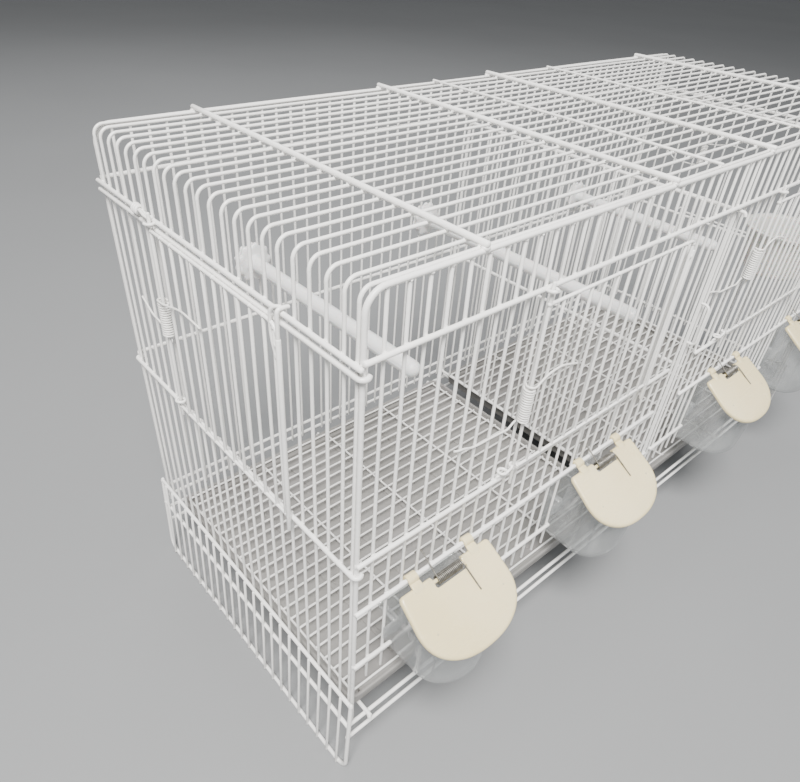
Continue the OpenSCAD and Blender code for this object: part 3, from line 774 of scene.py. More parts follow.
def skirt(s, name, node):
    b = Build()
    h = (SKIRT_Z - RR) / math.cos(math.radians(LEAN))
    y0, y1, r = YF - 3.1, YB + 3.1, 11.0
    c, sn = math.cos(math.radians(LEAN)), math.sin(math.radians(LEAN))
    org = np.array([-HX - RW - RR - 0.05, 0, SKIRT_Z])

    def w(p):
        p = np.atleast_2d(np.asarray(p, float))
        return np.c_[p[:, 0] * c + p[:, 2] * sn, p[:, 1], -p[:, 0] * sn + p[:, 2] * c] + org

    a = np.radians(np.linspace(0, 90, 9))
    left = [[0, y0, 3.0], [0, y0, -h * 0.5], [0, y0, -h + r]]
    arc1 = [[0, y0 + r - r * math.cos(t), -h + r - r * math.sin(t)] for t in a[1:]]
    mid = [[0, y0 + r + (y1 - y0 - 2 * r) * i / 6, -h] for i in range(1, 6)]
    arc2 = [[0, y1 - r + r * math.sin(t), -h + r - r * math.cos(t)] for t in a]
    right = [[0, y1, -h * 0.5], [0, y1, 3.0]]
    b.tube(w(left + arc1 + mid + arc2 + right), RAIL, 12, ref=(1, 0, 0))
    zm = -(SKIRT_Z - 60.6)
    for z in (0, zm):
        p = w([[0, y0, z], [0, y1, z]])
        b.rod(p[0], p[1], RAIL, sides=12, bow=0.12)
        for y in (y0, y1):
            b.weld(w([[0, y, z]])[0], (1.9, 1.9, 2.1))
    for k in range(NY):
        y = ky(k + 0.45) + RNG.uniform(-0.35, 0.35)
        p = w([[-LAY, y, -h - 0.6], [-LAY, y, 2]])
        b.rod(p[0], p[1], FINE, bow=0.2)
        for z in (0, zm, -h):
            b.weld(w([[-0.85, y, z]])[0], (0.95, 1.9, 1.6))
    b.mirrored(s).obj(name, "root", M_WIRE, [node], "wire")


def base_rails(name, node, y):
    b = Build()
    for z in (RAIL_A, RAIL_B):
        b.rod([-HX - 4, y, z], [HX + 4, y, z], RAIL, sides=12, bow=0.1)
    b.obj(name, "root", M_WIRE, [node], "wire")


def runners():
    b = Build()
    z = RAIL_A + RAIL + 0.05
    for x in (14, 180, 336):
        for s in (-1, 1):
            end = [(s * x, YF - 0.4, z), (s * x, YF - 2.6, z - 0.5), (s * x, YF - 4.2, z - 2.2), (s * x, YF - 4.6, z - 4.6)]
            line = [(s * x, YB + 1 + (YF - YB - 6) * q, z) for q in np.linspace(0, 1, 7)]
            b.tube(np.vstack([line, smooth_path(end, 4)]), RAIL, 12, ref=(1, 0, 0))
            for y in (YF + 0.05, YB - 0.05):
                weld_z(b, s * x, y, z - 1.5, 1.0)
    b.obj("tray_runner_wires", "root", M_WIRE, ["tray_runners"], "wire")


def divider():
    b = Build()
    y0, y1 = YF - 7, YB - 6
    z0, z1 = TRAY_Z + TRAY_H + 2.2, UPPER - 3.8
    r = 6.0
    ya = y0 + 8
    a = np.radians(np.linspace(0, 90, 7))

    def corner(cy, cz, a0, a1):
        t = np.radians(np.linspace(a0, a1, 7))
        return [[0, cy + r * math.cos(q), cz + r * math.sin(q)] for q in t]

    loop = (corner(y1 - r, z1 - r, 0, 90) + [[0, ya + r + (y1 - ya - 2 * r) * i / 5, z1] for i in (4, 3, 2, 1)]
            + corner(ya + r, z1 - r, 90, 180) + [[0, ya, z0 + (z1 - z0) * q] for q in (0.66, 0.33)]
            + corner(ya + r, z0 + r, 180, 270) + [[0, ya + r + (y1 - ya - 2 * r) * i / 5, z0] for i in (1, 2, 3, 4)]
            + corner(y1 - r, z0 + r, 270, 360) + [[0, y1, z0 + (z1 - z0) * q] for q in (0.33, 0.66)])
    b.tube(loop, RAIL, 12, closed=True, ref=(1, 0, 0))
    zm = MID - 1.2
    b.rod([0, ya, zm], [0, y1, zm], RAIL, sides=12, bow=0.0)
    for y in (ya, y1):
        b.weld((0, y, zm), (1.6, 1.9, 2.0))
    # catch in front of the upper rail
    b.tube(smooth_path([(0, ya + 8, z1), (0, ya - 1, z1), (0, YF - LAY - 1.5, z1), (0, YF - LAY - 3.8, z1 - 0.6), (0, YF - LAY - 4.8, z1 - 3.2)], 5), 2.6, 10)
    for k in range(1, NY - 1):
        y = ky(k) + 2 + RNG.uniform(-0.3, 0.3)
        b.rod([-LAY + 0.6, y, z0 - 0.4], [-LAY + 0.6, y, z1 + 0.4], FINE, bow=0.1)
        for z in (z0, zm, z1):
            b.weld((-0.7, y, z), (0.9, 1.8, 1.8))
    # pull loop in front of the slot
    zl, zh, rl = MID + 22, MID + 58, 4.0
    t = np.radians(np.linspace(0, 90, 6))
    pts = [[0, ya, zl]] + [[0, y0 + rl - rl * math.sin(q), zl + rl - rl * math.cos(q)] for q in t] \
        + [[0, y0, (zl + zh) / 2]] + [[0, y0 + rl - rl * math.cos(q), zh - rl + rl * math.sin(q)] for q in t] + [[0, ya, zh]]
    b.tube(pts, WIRE, 10, ref=(1, 0, 0))
    for z in (zl, zh):
        b.weld((0, ya, z), (1.6, 1.7, 1.6))
    b.obj("divider_wires", "divider", M_WIRE, ["divider"], "wire")


def door_wires(w, n, zb, zt, hinge_b, hinge_t, free_b, place, finger=None):
    b = Build()

    def put(pts):
        return place(np.atleast_2d(np.asarray(pts, float)))

    def rod(p, q, d, sides=10, bow=0.15):
        e = put([p, q])
        b.rod(e[0], e[1], d, bow=bow, sides=sides)

    rod([0, 0, hinge_b], [0, 0, hinge_t], WIRE, bow=0.0)
    r = 8.0
    t = np.radians(np.linspace(90, 0, 9))
    top = [[0, 0, zt]] + [[(w - r) * q, 0, zt] for q in (0.25, 0.5, 0.75)] + [[w - r + r * math.cos(a), 0, zt - r + r * math.sin(a)] for a in t]
    b.tube(put(top), WIRE, 10)
    rod([w, 0, free_b], [w, 0, zt - r + 1], RAIL, 12, bow=0.0)
    rod([0, 0, zb], [w, 0, zb], WIRE)
    rod([w - 3.2, 0, zb - 2], [w - 3.2, 0, zt - 3], FINE, bow=0.0)
    for i in range(1, n):
        x = i * w / n + RNG.uniform(-0.25, 0.25)
        rod([x, 0, zb - 1], [x, 0, zt], FINE)
        for z in (zb, zt):
            e = put([[x, 0, z]])[0]
            b.weld(e, (1.5, 1.5, 1.5))
    for x, z in ((0, zb), (0, zt), (w, zb), (w - 3.2, zt - 2.5), (w - 1.6, zt - 12)):
        b.weld(put([[x, 0, z]])[0], (1.7, 1.7, 1.8))
    if finger:
        finger(b, put)
    return b


def front_door(i):
    ox = kx(DOORS[i])

    def place(p):
        return p + np.array([ox, DOOR_Y, 0])

    b = door_wires(DOOR_W, 12, MID + 10.5, DOOR_TOP, MID - 3, UPPER + 5, MID - 4, place)
    b.obj(f"front_door_{i + 1}_wires", f"front_door_{i + 1}", M_WIRE, [f"front_door_{i + 1}"], "wire")


def end_door(s, name, node):
    def place(p):
        return np.c_[-DOOR_X + p[:, 1], ky(15.5) - p[:, 0], p[:, 2]]

    w = 10.9 * P
    zt = UPPER - 7.5

    def finger(b, put):
        pts = [[w, 0, zt - 14], [w, 0, zt - 4], [w, 0, UPPER - 2.0], [w, 0.6, UPPER + 0.4], [w, 2.2, UPPER + 1.1], [w, 5.0, UPPER + 1.1], [w, 7.6, UPPER + 0.6]]
        b.tube(put(smooth_path(pts, 4)), WIRE, 10)
        # the loop that is pushed up to open the door
        lp = [[w - 2.0, -0.1, zt - 20], [w - 5.6, -0.2, zt - 8], [w - 6.0, -0.2, UPPER - 5], [w - 5.4, 0.0, UPPER - 1.4], [w - 3.6, 1.2, UPPER + 1.0], [w - 0.6, 3.6, UPPER + 1.3]]
        b.tube(put(smooth_path(lp, 4)), WIRE * 0.9, 8)

    b = door_wires(w, 11, MID - 1, zt, MID - 9, UPPER + 4, MID - 13.5, place, finger)
    b.mirrored(s).obj(name, node, M_WIRE, [node], "wire")


def floor_grille(s):
    b = Build()
    x0, x1 = TRAY_X0 + 5.5, TRAY_X1 - 5.3
    y0, y1, n = YF + 12.5, YB - 17.5, 22
    xs = [x0 + 1, x0 + (x1 - x0) * 0.25, (x0 + x1) / 2, x0 + (x1 - x0) * 0.75, x1 - 1]
    for i in range(n + 1):
        y = y0 + i * (y1 - y0) / n + (RNG.uniform(-0.3, 0.3) if 0 < i < n else 0)
        b.rod([x0, y, GRILLE_Z], [x1, y, GRILLE_Z], FLOOR_WIRE, sides=8, bow=0.25)
        for x in xs:
            b.weld((x, y, GRILLE_Z - 0.95), (1.45, 1.45, 0.9))
    for x in xs:
        b.rod([x, y0 - 1, GRILLE_Z - 1.9], [x, y1 + 1, GRILLE_Z - 1.9], FLOOR_WIRE, sides=8, bow=0.0)
    b.moved(s * TRAY_STEP).obj(f"floor_grille_{s + 1}_wires", f"floor_grille_{s + 1}", M_WIRE, [f"floor_grille_{s + 1}"], "wire")


front_grille()
back_grille()
top_grille()
end_grille(0, "left_end_wires", "left_end_grille")
end_grille(1, "right_end_wires", "right_end_grille")
skirt(0, "left_skirt_wires", "left_skirt")
skirt(1, "right_skirt_wires", "right_skirt")
base_rails("front_base_wires", "base_front_rails", YF + 0.05)
base_rails("back_base_wires", "base_back_rails", YB - 0.05)
runners()
divider()
front_door(0)
front_door(1)
end_door(0, "left_door_wires", "left_door")
end_door(1, "right_door_wires", "right_door")
floor_grille(0)
floor_grille(1)


# --------------------------------------------------------------------------
# Door springs: coil on the hinge wire, one leg on the cage, one on the door
# --------------------------------------------------------------------------
COIL_R, SPRING_D = 3.25, 1.45


def helix(r, z0, z1, turns, a0, per=16):
    n = int(turns * per) + 1
    a = a0 + np.linspace(0, turns * 2 * math.pi, n)
    return np.c_[r * np.cos(a), r * np.sin(a), np.linspace(z0, z1, n)]


def hinge_spring(place, s, body, base, node, z, height, fixed, moving, dx=0.0):
    """fixed and moving are the legs' further points in the hinge's own frame."""
    turns = 14
    b = Build()
    h = helix(COIL_R, z + 0.8, z + height - 1.6, turns, math.radians(90), 14)
    h[:, 0] = dx - h[:, 0]   # wound so that the fixed leg leaves on the outside
    first = h[0]
    pts = smooth_path([fixed[-1]] + list(reversed(fixed[:-1])) + [first], 6)[:-1]
    pts = np.vstack([pts, h])
    b.tube(place(pts), SPRING_D, 8)
    b.mirrored(s).obj(base, "root", M_SPRINGW, [node], "door_spring")
    m = Build()
    zt = z + height - 0.4
    a = np.radians(np.linspace(-250, -90, 12))
    # a coil set off the hinge line keeps its door leg on the line, clear above the last turn
    arc = np.c_[COIL_R * np.cos(a), COIL_R * np.sin(a), zt + (np.linspace(0.3, 0.45, 12) if dx else np.linspace(-0.9, 0.2, 12))]
    tail = smooth_path([arc[-1]] + moving, 6)[1:]
    m.tube(place(np.vstack([arc, tail])), SPRING_D, 8)
    m.mirrored(s).obj(base + "_door_leg", body, M_SPRINGW, [node + "_leg"], "door_spring")


FRONT_FIXED = [np.array(q, float) for q in ((-5.0, 3.4, 276.2), (-7.6, 3.4, 274.4), (-9.3, 3.4, 273.2), (-12.0, 3.4, 272.9), (-16.9, 3.4, 273.4), (-26.0, 3.4, 274.0),
                                            (-40.0, 3.4, 274.7), (-48.0, 3.4, 277.4), (-54.0, 3.5, 278.8), (-57.0, 4.4, 279.4))]
FRONT_MOVING = [np.array(q, float) for q in ((2.0, -3.1, 304.0), (5.2, -2.4, 304.6), (10.1, -1.95, 306.2), (16.2, -1.95, 308.0), (25.5, -1.95, 308.4), (36.7, -1.9, 305.4), (42.5, -1.85, 303.6))]
for i in (0, 1):
    o = np.array([kx(DOORS[i]), DOOR_Y, 1.2 * P * i])
    hinge_spring(lambda p, o=o: np.asarray(p) + o, 0, f"front_door_{i + 1}", f"front_door_{i + 1}_coil", f"front_door_{i + 1}_spring",
                 276.5, 27.3, FRONT_FIXED, FRONT_MOVING, dx=-1.35)


def end_place(p):
    p = np.asarray(p, float)
    return np.c_[-DOOR_X + p[:, 1], ky(15.5) - p[:, 0], p[:, 2]]


for s, side in ((0, "left"), (1, "right")):
    z = MID + 4.6 * P
    hinge_spring(end_place, s, f"{side}_door", f"{side}_door_coil", f"{side}_door_spring", z, 23 * 1.2 * 0.98,
                 [np.array(q, float) for q in ((-5.6, -0.6, z + 0.4), (-16.0, 2.5, z + 0.6), (-31.0, 3.35, z + 1.2), (-41.0, 3.45, z + 6.6), (-45.3, 3.45, z + 9.0))],
                 [np.array(q, float) for q in ((7.0, -3.3, z + 27.6), (13.5, -2.4, z + 28.6), (28.8, -1.95, z + 32.2), (41.4, -1.95, z + 32.4), (53.5, -1.85, z + 31.6))])


# --------------------------------------------------------------------------
# Feeder lids, their springs and cups
# --------------------------------------------------------------------------
C213, S213 = math.cos(math.pi + SLOPE), math.sin(math.pi + SLOPE)


def lid_pts(i, p):
    """Lid frame (x, u down the slope, v outward) to the shared frame."""
    p = np.atleast_2d(np.asarray(p, float))
    x, u, v = p[:, 0], p[:, 1], p[:, 2]
    return np.c_[kx(FEEDERS[i]) + x, YF - LAY + u * C213 + v * S213, LID_Z + u * S213 - v * C213]


def lid_outline(n_front=40):
    """D-shaped outline, anticlockwise seen from above, with rounded hinge corners."""
    w, s, L = 40.0, 25.0, 56.0
    pts = []
    # front, elliptic
    for a in np.linspace(0, math.pi, n_front + 1):
        c, q = math.cos(a), math.sin(a)
        e = 2.25   # slightly squarer than an ellipse
        pts.append(((w + 1.5) * np.sign(c) * abs(c) ** (2 / e), 6.2 + s + (L - s) * abs(q) ** (2 / e)))
    for u in np.linspace(6.2 + s, 6.2 + 3.0, 7)[1:]:
        f = (u - 6.2) / s
        pts.append((-(w + 1.5 * f), u))
    r = 3.0
    for a in np.radians(np.linspace(180, 270, 6))[1:]:
        pts.append((-w + r + r * math.cos(a), 6.2 + r + r * math.sin(a)))
    for x in np.linspace(-w + r, w - r, 20)[1:-1]:
        pts.append((x, 6.2))
    for a in np.radians(np.linspace(270, 360, 6)):
        pts.append((w - r + r * math.cos(a), 6.2 + r + r * math.sin(a)))
    for u in np.linspace(6.2 + r, 6.2 + s, 7)[1:-1]:
        f = (u - 6.2) / s
        pts.append((w + 1.5 * f, u))
    return np.array(pts)


def inset(poly, d):
    n = len(poly)
    out = []
    for i in range(n):
        a, c = poly[i - 1], poly[(i + 1) % n]
        t = unit(c - a)
        out.append(poly[i] + d * np.array([-t[1], t[0]]))
    return np.array(out)


def lid_shell():
    out = lid_outline()
    area = 0.5 * np.sum(out[:, 0] * np.roll(out[:, 1], -1) - np.roll(out[:, 0], -1) * out[:, 1])
    if area < 0:
        out = out[::-1]
    cen = np.array([0.0, 33.0])
    rows = []

    def crown(p):
        q = ((p[:, 0] / 41.0) ** 2 + ((p[:, 1] - 33.0) / 29.0) ** 2)
        return 0.75 * np.clip(1 - q, 0, 1)

    top = [(0.55, -0.9), (0.15, -0.75), (0.0, -0.3), (0.0, 0.7), (0.12, 1.25), (0.5, 1.85), (1.1, 2.3), (1.9, 2.55), (3.0, 2.65)]
    for o, v in top:
        q = inset(out, o)
        rows.append(np.c_[q, np.full(len(q), v)])
    base = inset(out, 3.0)
    for k in (0.86, 0.68, 0.48, 0.28, 0.12):
        q = cen + (base - cen) * k
        rows.append(np.c_[q, 2.65 + crown(q)])
    verts, faces = [], []
    n = len(out)
    under = [(1.15, -0.9), (1.6, -0.6), (1.8, 0.2), (2.3, 0.75), (3.2, 0.9)]
    lower = []
    for o, v in under:
        q = inset(out, o)
        lower.append(np.c_[q, np.full(len(q), v)])
    base = inset(out, 3.2)
    for k in (0.7, 0.35, 0.12):
        q = cen + (base - cen) * k
        lower.append(np.c_[q, np.full(len(q), 0.95)])
    seq = lower[::-1] + rows
    for r in seq:
        verts.extend(r.tolist())
    m = len(seq)
    for i in range(m - 1):
        for j in range(n):
            k = (j + 1) % n
            faces.append((i * n + j, i * n + k, (i + 1) * n + k, (i + 1) * n + j))
    c0 = len(verts)
    verts.append([0, 33.0, 0.95])
    verts.append([0, 33.0, 3.4])
    for j in range(n):
        k = (j + 1) % n
        faces.append((c0, k, j))
        faces.append((c0 + 1, (m - 1) * n + j, (m - 1) * n + k))
    return np.array(verts), faces


def make_mesh_object(name, verts, faces):
    me = bpy.data.meshes.new(name)
    me.from_pydata(np.asarray(verts).tolist(), [], faces)
    me.validate()
    o = bpy.data.objects.new(name, me)
    bpy.context.scene.collection.objects.link(o)
    return o


def rounded_box(x0, x1, y0, y1, z0, z1, r, seg=3):
    bm = bmesh.new()
    bmesh.ops.create_cube(bm, size=1.0)
    for v in bm.verts:
        v.co.x = x0 + (v.co.x + 0.5) * (x1 - x0)
        v.co.y = y0 + (v.co.y + 0.5) * (y1 - y0)
        v.co.z = z0 + (v.co.z + 0.5) * (z1 - z0)
    bmesh.ops.bevel(bm, geom=list(bm.edges) + list(bm.verts), offset=r, segments=seg, profile=0.5, affect="EDGES", clamp_overlap=True)
    vs = np.array([v.co[:] for v in bm.verts])
    fs = [tuple(v.index for v in f.verts) for f in bm.faces]
    bm.free()
    return vs, fs


def extruded(profile, x0, x1, r=0.6, seg=2):
    """Solid of a (u, v) profile between x0 and x1, with softened edges."""
    bm = bmesh.new()
    a = [bm.verts.new((x0, p[0], p[1])) for p in profile]
    f = bm.faces.new(a)
    res = bmesh.ops.extrude_face_region(bm, geom=[f])
    for v in [g for g in res["geom"] if isinstance(g, bmesh.types.BMVert)]:
        v.co.x = x1
    bmesh.ops.recalc_face_normals(bm, faces=bm.faces)
    edges = [e for e in bm.edges if len(e.link_faces) == 2 and abs(e.verts[0].co.x - e.verts[1].co.x) < 1e-6]
    bmesh.ops.bevel(bm, geom=edges, offset=r, segments=seg, profile=0.5, affect="EDGES", clamp_overlap=True)
    bm.verts.index_update()
    vs = np.array([v.co[:] for v in bm.verts])
    fs = [tuple(v.index for v in q.verts) for q in bm.faces]
    bm.free()
    return vs, fs


def cut_notch(verts, faces):
    """The slot that the coil sits in, cut with a rounded cutter."""
    lid = make_mesh_object("tmp_lid", verts, faces)
    cv, cf = rounded_box(-14, 14, -6, 14.5, -6, 8, 1.8, 4)
    cutter = make_mesh_object("tmp_cutter", cv, cf)
    mod = lid.modifiers.new("cut", "BOOLEAN")
    mod.operation = "DIFFERENCE"
    mod.solver = "EXACT"
    mod.object = cutter
    dg = bpy.context.evaluated_depsgraph_get()
    me = bpy.data.meshes.new_from_object(lid.evaluated_get(dg))
    v = np.array([q.co[:] for q in me.vertices])
    f = [tuple(p.vertices) for p in me.polygons]
    for o in (lid, cutter):
        d = o.data
        bpy.data.objects.remove(o)
        bpy.data.meshes.remove(d)
    bpy.data.meshes.remove(me)
    return v, f


LID_V, LID_F = cut_notch(*lid_shell())


def feeder_lid(i):
    b = Build()
    b.add(lid_pts(i, LID_V), LID_F)
    for x in (-2 * P, 2 * P):
        # C-shaped hook: outer arc, then back along the bore
        o, q = [], []
        for a in np.radians(np.linspace(20, 290, 26)):
            o.append((3.7 * math.cos(a), 3.7 * math.sin(a)))
        for a in np.radians(np.linspace(290, 48, 22)):
            q.append((1.75 * math.cos(a), 1.75 * math.sin(a)))
        neck = [(6.8, 0.9), (9.5, 1.1), (9.5, 2.9), (6.4, 2.95), (4.4, 2.6)]
        prof = q + neck + o[1:]
        vs, fs = extruded(prof, x - 4.0, x + 4.0, 0.5, 2)
        b.add(lid_pts(i, vs), fs)
    # bosses and pin that carry the coil
    for s in (-1, 1):
        vs, fs = rounded_box(s * 15.4 - 2.2, s * 15.4 + 2.2, 7.2, 12.8, 0.3, 2.5, 0.9, 3)
        b.add(lid_pts(i, vs), fs)
    b.tube(lid_pts(i, [[-15.5, 10, 1.4], [-5, 10, 1.4], [5, 10, 1.4], [15.5, 10, 1.4]]), 2.6, 14)
    o = b.obj(f"feeder_lid_{i + 1}_moulding", f"feeder_lid_{i + 1}", M_IVORY, [f"feeder_lid_{i + 1}"], "lid", sharp=38)
    return o


def lid_spring(i):
    b = Build()
    turns, r, d = 17, 2.95, 1.05
    n = turns * 14 + 1
    a = np.linspace(0, turns * 2 * math.pi, n)
    xs = np.linspace(-10.6, 10.9, n)
    # starts and ends on the upper side
    coil = np.c_[xs, 10 + r * np.sin(a), 1.4 + r * np.cos(a)]
    leg = smooth_path([[10.9, 10, 1.4 + r], [11.5, 13.5, 4.4], [12.1, 19, 4.05], [12.7, 26, 3.75], [13.2, 31, 3.62]], 6)
    b.tube(lid_pts(i, np.vstack([coil, leg[1:]])), d, 8)
    b.obj(f"lid_spring_{i + 1}_coil", f"feeder_lid_{i + 1}", M_STEEL, [f"lid_spring_{i + 1}"], "spring_steel")
    # the other leg hooks behind an upright
    c = Build()
    arm = [[-10.6, 10.3, 4.33], [-10.7, 5, 4.55], [-10.8, 0, 4.8], [-10.8, -6, 5.05], [-10.9, -10.6, 5.2], [-11.7, -11.9, 5.2], [-13.6, -12.3, 5.1], [-16.2, -12.2, 4.9]]
    c.tube(lid_pts(i, smooth_path(arm, 6)), d, 8)
    o = c.obj(f"lid_spring_{i + 1}_arm", None, M_STEEL, (), "spring_steel")
    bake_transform(o)


TAN = math.tan(SLOPE)


def cup_rim(y):
    """Height of the rim at y in front of the front wires, relative to the middle rail."""
    hi = -41.4 - (abs(min(y, -7.0)) - 2.0) * TAN
    if y <= -7:
        return hi
    if y >= -3:
        return -74.0
    f = (y + 7) / 4.0
    f = f * f * (3 - 2 * f)
    return hi + (-74.0 - hi) * f


def cup_plan(w, f, back, n=72):
    """Closed D-shaped outline, anticlockwise, as (x, y), evenly stepped by its own parts."""
    pts = []
    for x in np.linspace(-w + 3, w - 3, 12):
        pts.append((x, back))
    for a in np.radians(np.linspace(90, 0, 5))[1:]:
        pts.append((w - 3 + 3 * math.cos(a), back - 3 + 3 * math.sin(a)))
    for y in np.linspace(back - 3, -20, 14)[1:]:
        pts.append((w, y))
    for a in np.linspace(0, math.pi, 34)[1:]:
        pts.append((w * math.cos(a), -20 - (f - 20) * math.sin(a)))
    for y in np.linspace(-20, back - 3, 14)[1:]:
        pts.append((-w, y))
    for a in np.radians(np.linspace(180, 90, 5))[1:-1]:
        pts.append((-w + 3 + 3 * math.cos(a), back - 3 + 3 * math.sin(a)))
    return np.array(pts)[::-1]


def feeder_cup(i):
    b = Build()
    org = np.array([kx(FEEDERS[i]), YF, MID])
    wall, zb, rf = 1.8, -125.0, 6.0

    def plan_at(z, t, bottom):
        k = (z - zb) / 85.0
        w, f = 29 + 8 * k, 43 + 8 * k
        q = cup_plan(w, f, 15.0)
        d = t
        h = z - bottom
        r = max(rf - t, 1.5)
        if h < r:
            d += r - math.sqrt(max(r * r - (r - h) ** 2, 0))
        return q, d

    def shell(t, bottom, lift):
        rows = []
        ref = cup_plan(37, 51, 15.0)
        n = len(ref)
        levels = [0, 0.35, 0.9, 1.8, 3.0, 4.5, 6.0]
        fr = [0.12, 0.25, 0.4, 0.55, 0.7, 0.85, 0.95, 1.0]
        for h in levels:
            z = bottom + h
            q, d = plan_at(z, t, bottom)
            q = inset(q, d)
            rows.append(np.c_[q, np.full(n, z)])
        zbase = bottom + levels[-1]
        # rim heights by iteration, because the plan point moves with height
        top = np.array([cup_rim(y) for x, y in ref])
        for f in fr:
            row = []
            for j in range(n):
                zr = top[j]
                z = zbase + (zr - zbase) * f
                k = (z - zb) / 85.0
                w, ff = 29 + 8 * k, 43 + 8 * k
                # point j of the plan at this height
                row.append((w, ff, z))
            plans = {}
            pts = []
            for j, (w, ff, z) in enumerate(row):
                key = round(w, 3)
                if key not in plans:
                    plans[key] = inset(cup_plan(w, ff, 15.0), t)
                pts.append((plans[key][j][0], plans[key][j][1], z))
            rows.append(np.array(pts))
        return rows

    outer = shell(0.0, zb, 0)
    inner = shell(wall, zb + wall + 0.6, 0)
    n = len(outer[0])
    rim_o, rim_i = outer[-1], inner[-1]
    c = (rim_o + rim_i) / 2
    lip = c + np.array([0, 0, 0.55])
    lo = rim_o * 0.8 + c * 0.2 + np.array([0, 0, 0.35])
    li = rim_i * 0.8 + c * 0.2 + np.array([0, 0, 0.35])
    seq = outer + [lo, lip, li] + inner[::-1]
    verts, faces = [], []
    for r in seq:
        verts.extend(r.tolist())
    m = len(seq)
    for a in range(m - 1):
        for j in range(n):
            k = (j + 1) % n
            faces.append((a * n + j, a * n + k, (a + 1) * n + k, (a + 1) * n + j))
    c0 = len(verts)
    verts.append([0, -15, zb])
    verts.append([0, -15, zb + wall + 0.6])
    for j in range(n):
        k = (j + 1) % n
        faces.append((c0, k, j))
        faces.append((c0 + 1, (m - 1) * n + j, (m - 1) * n + k))
    b.add(np.array(verts) + org, faces)
    # flanges that bear on the uprights
    for s in (-1, 1):
        x0, x1 = sorted((s * 31.5, s * 45.2))
        vs, fs = rounded_box(x0, x1, -2.95, -1.35, -86, -74, 0.7, 3)
        b.add(vs + org, fs)
    # thick rim beads inside the cage and round the lid side
    for sx in (-1, 1):
        pts = [(sx * 36.2, y, -74.2) for y in (-2.5, 2.0, 6.5, 11.5)] + [(sx * 35.6, 13.2, -74.2), (sx * 33.6, 14.1, -74.2)]
        b.tube(smooth_path(np.array(pts) + org, 4), 2.6, 10)
    pts = [(x, 14.1, -74.2) for x in np.linspace(-33.6, 33.6, 8)]
    b.tube(np.array(pts) + org, 2.4, 10)
    pts = []
    for a in np.linspace(math.radians(8), math.radians(172), 30):
        y = -20 - 30.2 * math.sin(a)
        pts.append((36.0 * math.cos(a), y, cup_rim(y) - 1.6))
    b.tube(np.array(pts) + org, 1.9, 8)
    # beads moulded down the front corners
    for a in (math.radians(30), math.radians(150)):
        pts = []
        for k in np.linspace(0.12, 0.8, 8):
            w, f = 29 + 8 * k, 43 + 8 * k
            pts.append((0.985 * w * math.cos(a), -20 - 0.985 * (f - 20) * math.sin(a), zb + 85 * k))
        b.tube(np.array(pts) + org, 1.6, 8)
    b.obj(f"feeder_cup_{i + 1}_clear", f"feeder_cup_{i + 1}", M_CLEAR, [f"feeder_cup_{i + 1}"], "cup", sharp=60)


for i in range(4):
    feeder_lid(i)
    lid_spring(i)
    feeder_cup(i)


# --------------------------------------------------------------------------
# Trays
# --------------------------------------------------------------------------
def rounded_rect(x0, x1, y0, y1, r, seg=8):
    pts = []
    for cx, cy, a0 in ((x1 - r, y0 + r, 270), (x1 - r, y1 - r, 0), (x0 + r, y1 - r, 90), (x0 + r, y0 + r, 180)):
        for a in np.radians(np.linspace(a0, a0 + 90, seg)):
            pts.append((cx + r * math.cos(a), cy + r * math.sin(a)))
    return np.array(pts)


def tray(s):
    b = Build()
    x0, x1 = TRAY_X0, TRAY_X1
    y0, y1 = YF + 6, YB - 13.5
    z, h, t = TRAY_Z, TRAY_H, 2.0

    def row(d, zz):
        r = max(8 - d, 2.0)
        q = rounded_rect(x0 + d, x1 - d, y0 + d, y1 - d, r)
        return np.c_[q, np.full(len(q), zz)]

    seq = [row(12, z), row(4.5, z), row(2.6, z + 0.25), row(1.6, z + 1.0), row(1.2, z + 2.2),
           row(0.7, z + h - 5.5), row(0.55, z + h - 4.6), row(0.12, z + h - 4.0), row(0.0, z + h - 3.2), row(0.0, z + h - 1.2), row(0.3, z + h - 0.35),
           row(0.9, z + h), row(2.0, z + h - 0.1), row(2.7, z + h - 0.7), row(2.9, z + h - 1.6),
           row(3.1, z + 4.5), row(3.6, z + 3.2), row(4.8, z + 2.35), row(6.5, z + t), row(14, z + t)]
    n = len(seq[0])
    verts, faces = [], []
    for r in seq:
        verts.extend(r.tolist())
    m = len(seq)
    for a in range(m - 1):
        for j in range(n):
            k = (j + 1) % n
            faces.append((a * n + j, a * n + k, (a + 1) * n + k, (a + 1) * n + j))
    faces.append(tuple(range(n - 1, -1, -1)))
    faces.append(tuple((m - 1) * n + j for j in range(n)))
    b.add(verts, faces)
    # ledges that carry the floor grille
    for y in (y0 + 2.4, y1 - 7.6):
        vs, fs = rounded_box(x0 + 12, x1 - 12, y, y + 5.2, z + 1.2, GRILLE_Z - 3.08, 0.8, 2)
        b.add(vs, fs)
    # shallow ribs pressed across the floor
    for k in range(1, 6):
        xc = x0 + (x1 - x0) * k / 6
        vs, fs = rounded_box(xc - 2.5, xc + 2.5, y0 + 16, y1 - 16, z + 1.2, z + 2.9, 0.8, 3)
        b.add(vs, fs)
    b.moved(s * TRAY_STEP).obj(f"tray_{s + 1}_moulding", f"tray_{s + 1}", M_TRAY, [f"tray_{s + 1}"], "tray", sharp=35)


tray(0)
tray(1)


# --------------------------------------------------------------------------
# Perches
# --------------------------------------------------------------------------
PERCHES = [(8.5, 4.1, 5.6), (24.5, 3.7, 2.2), (45.5, 1.7, 6.8)]


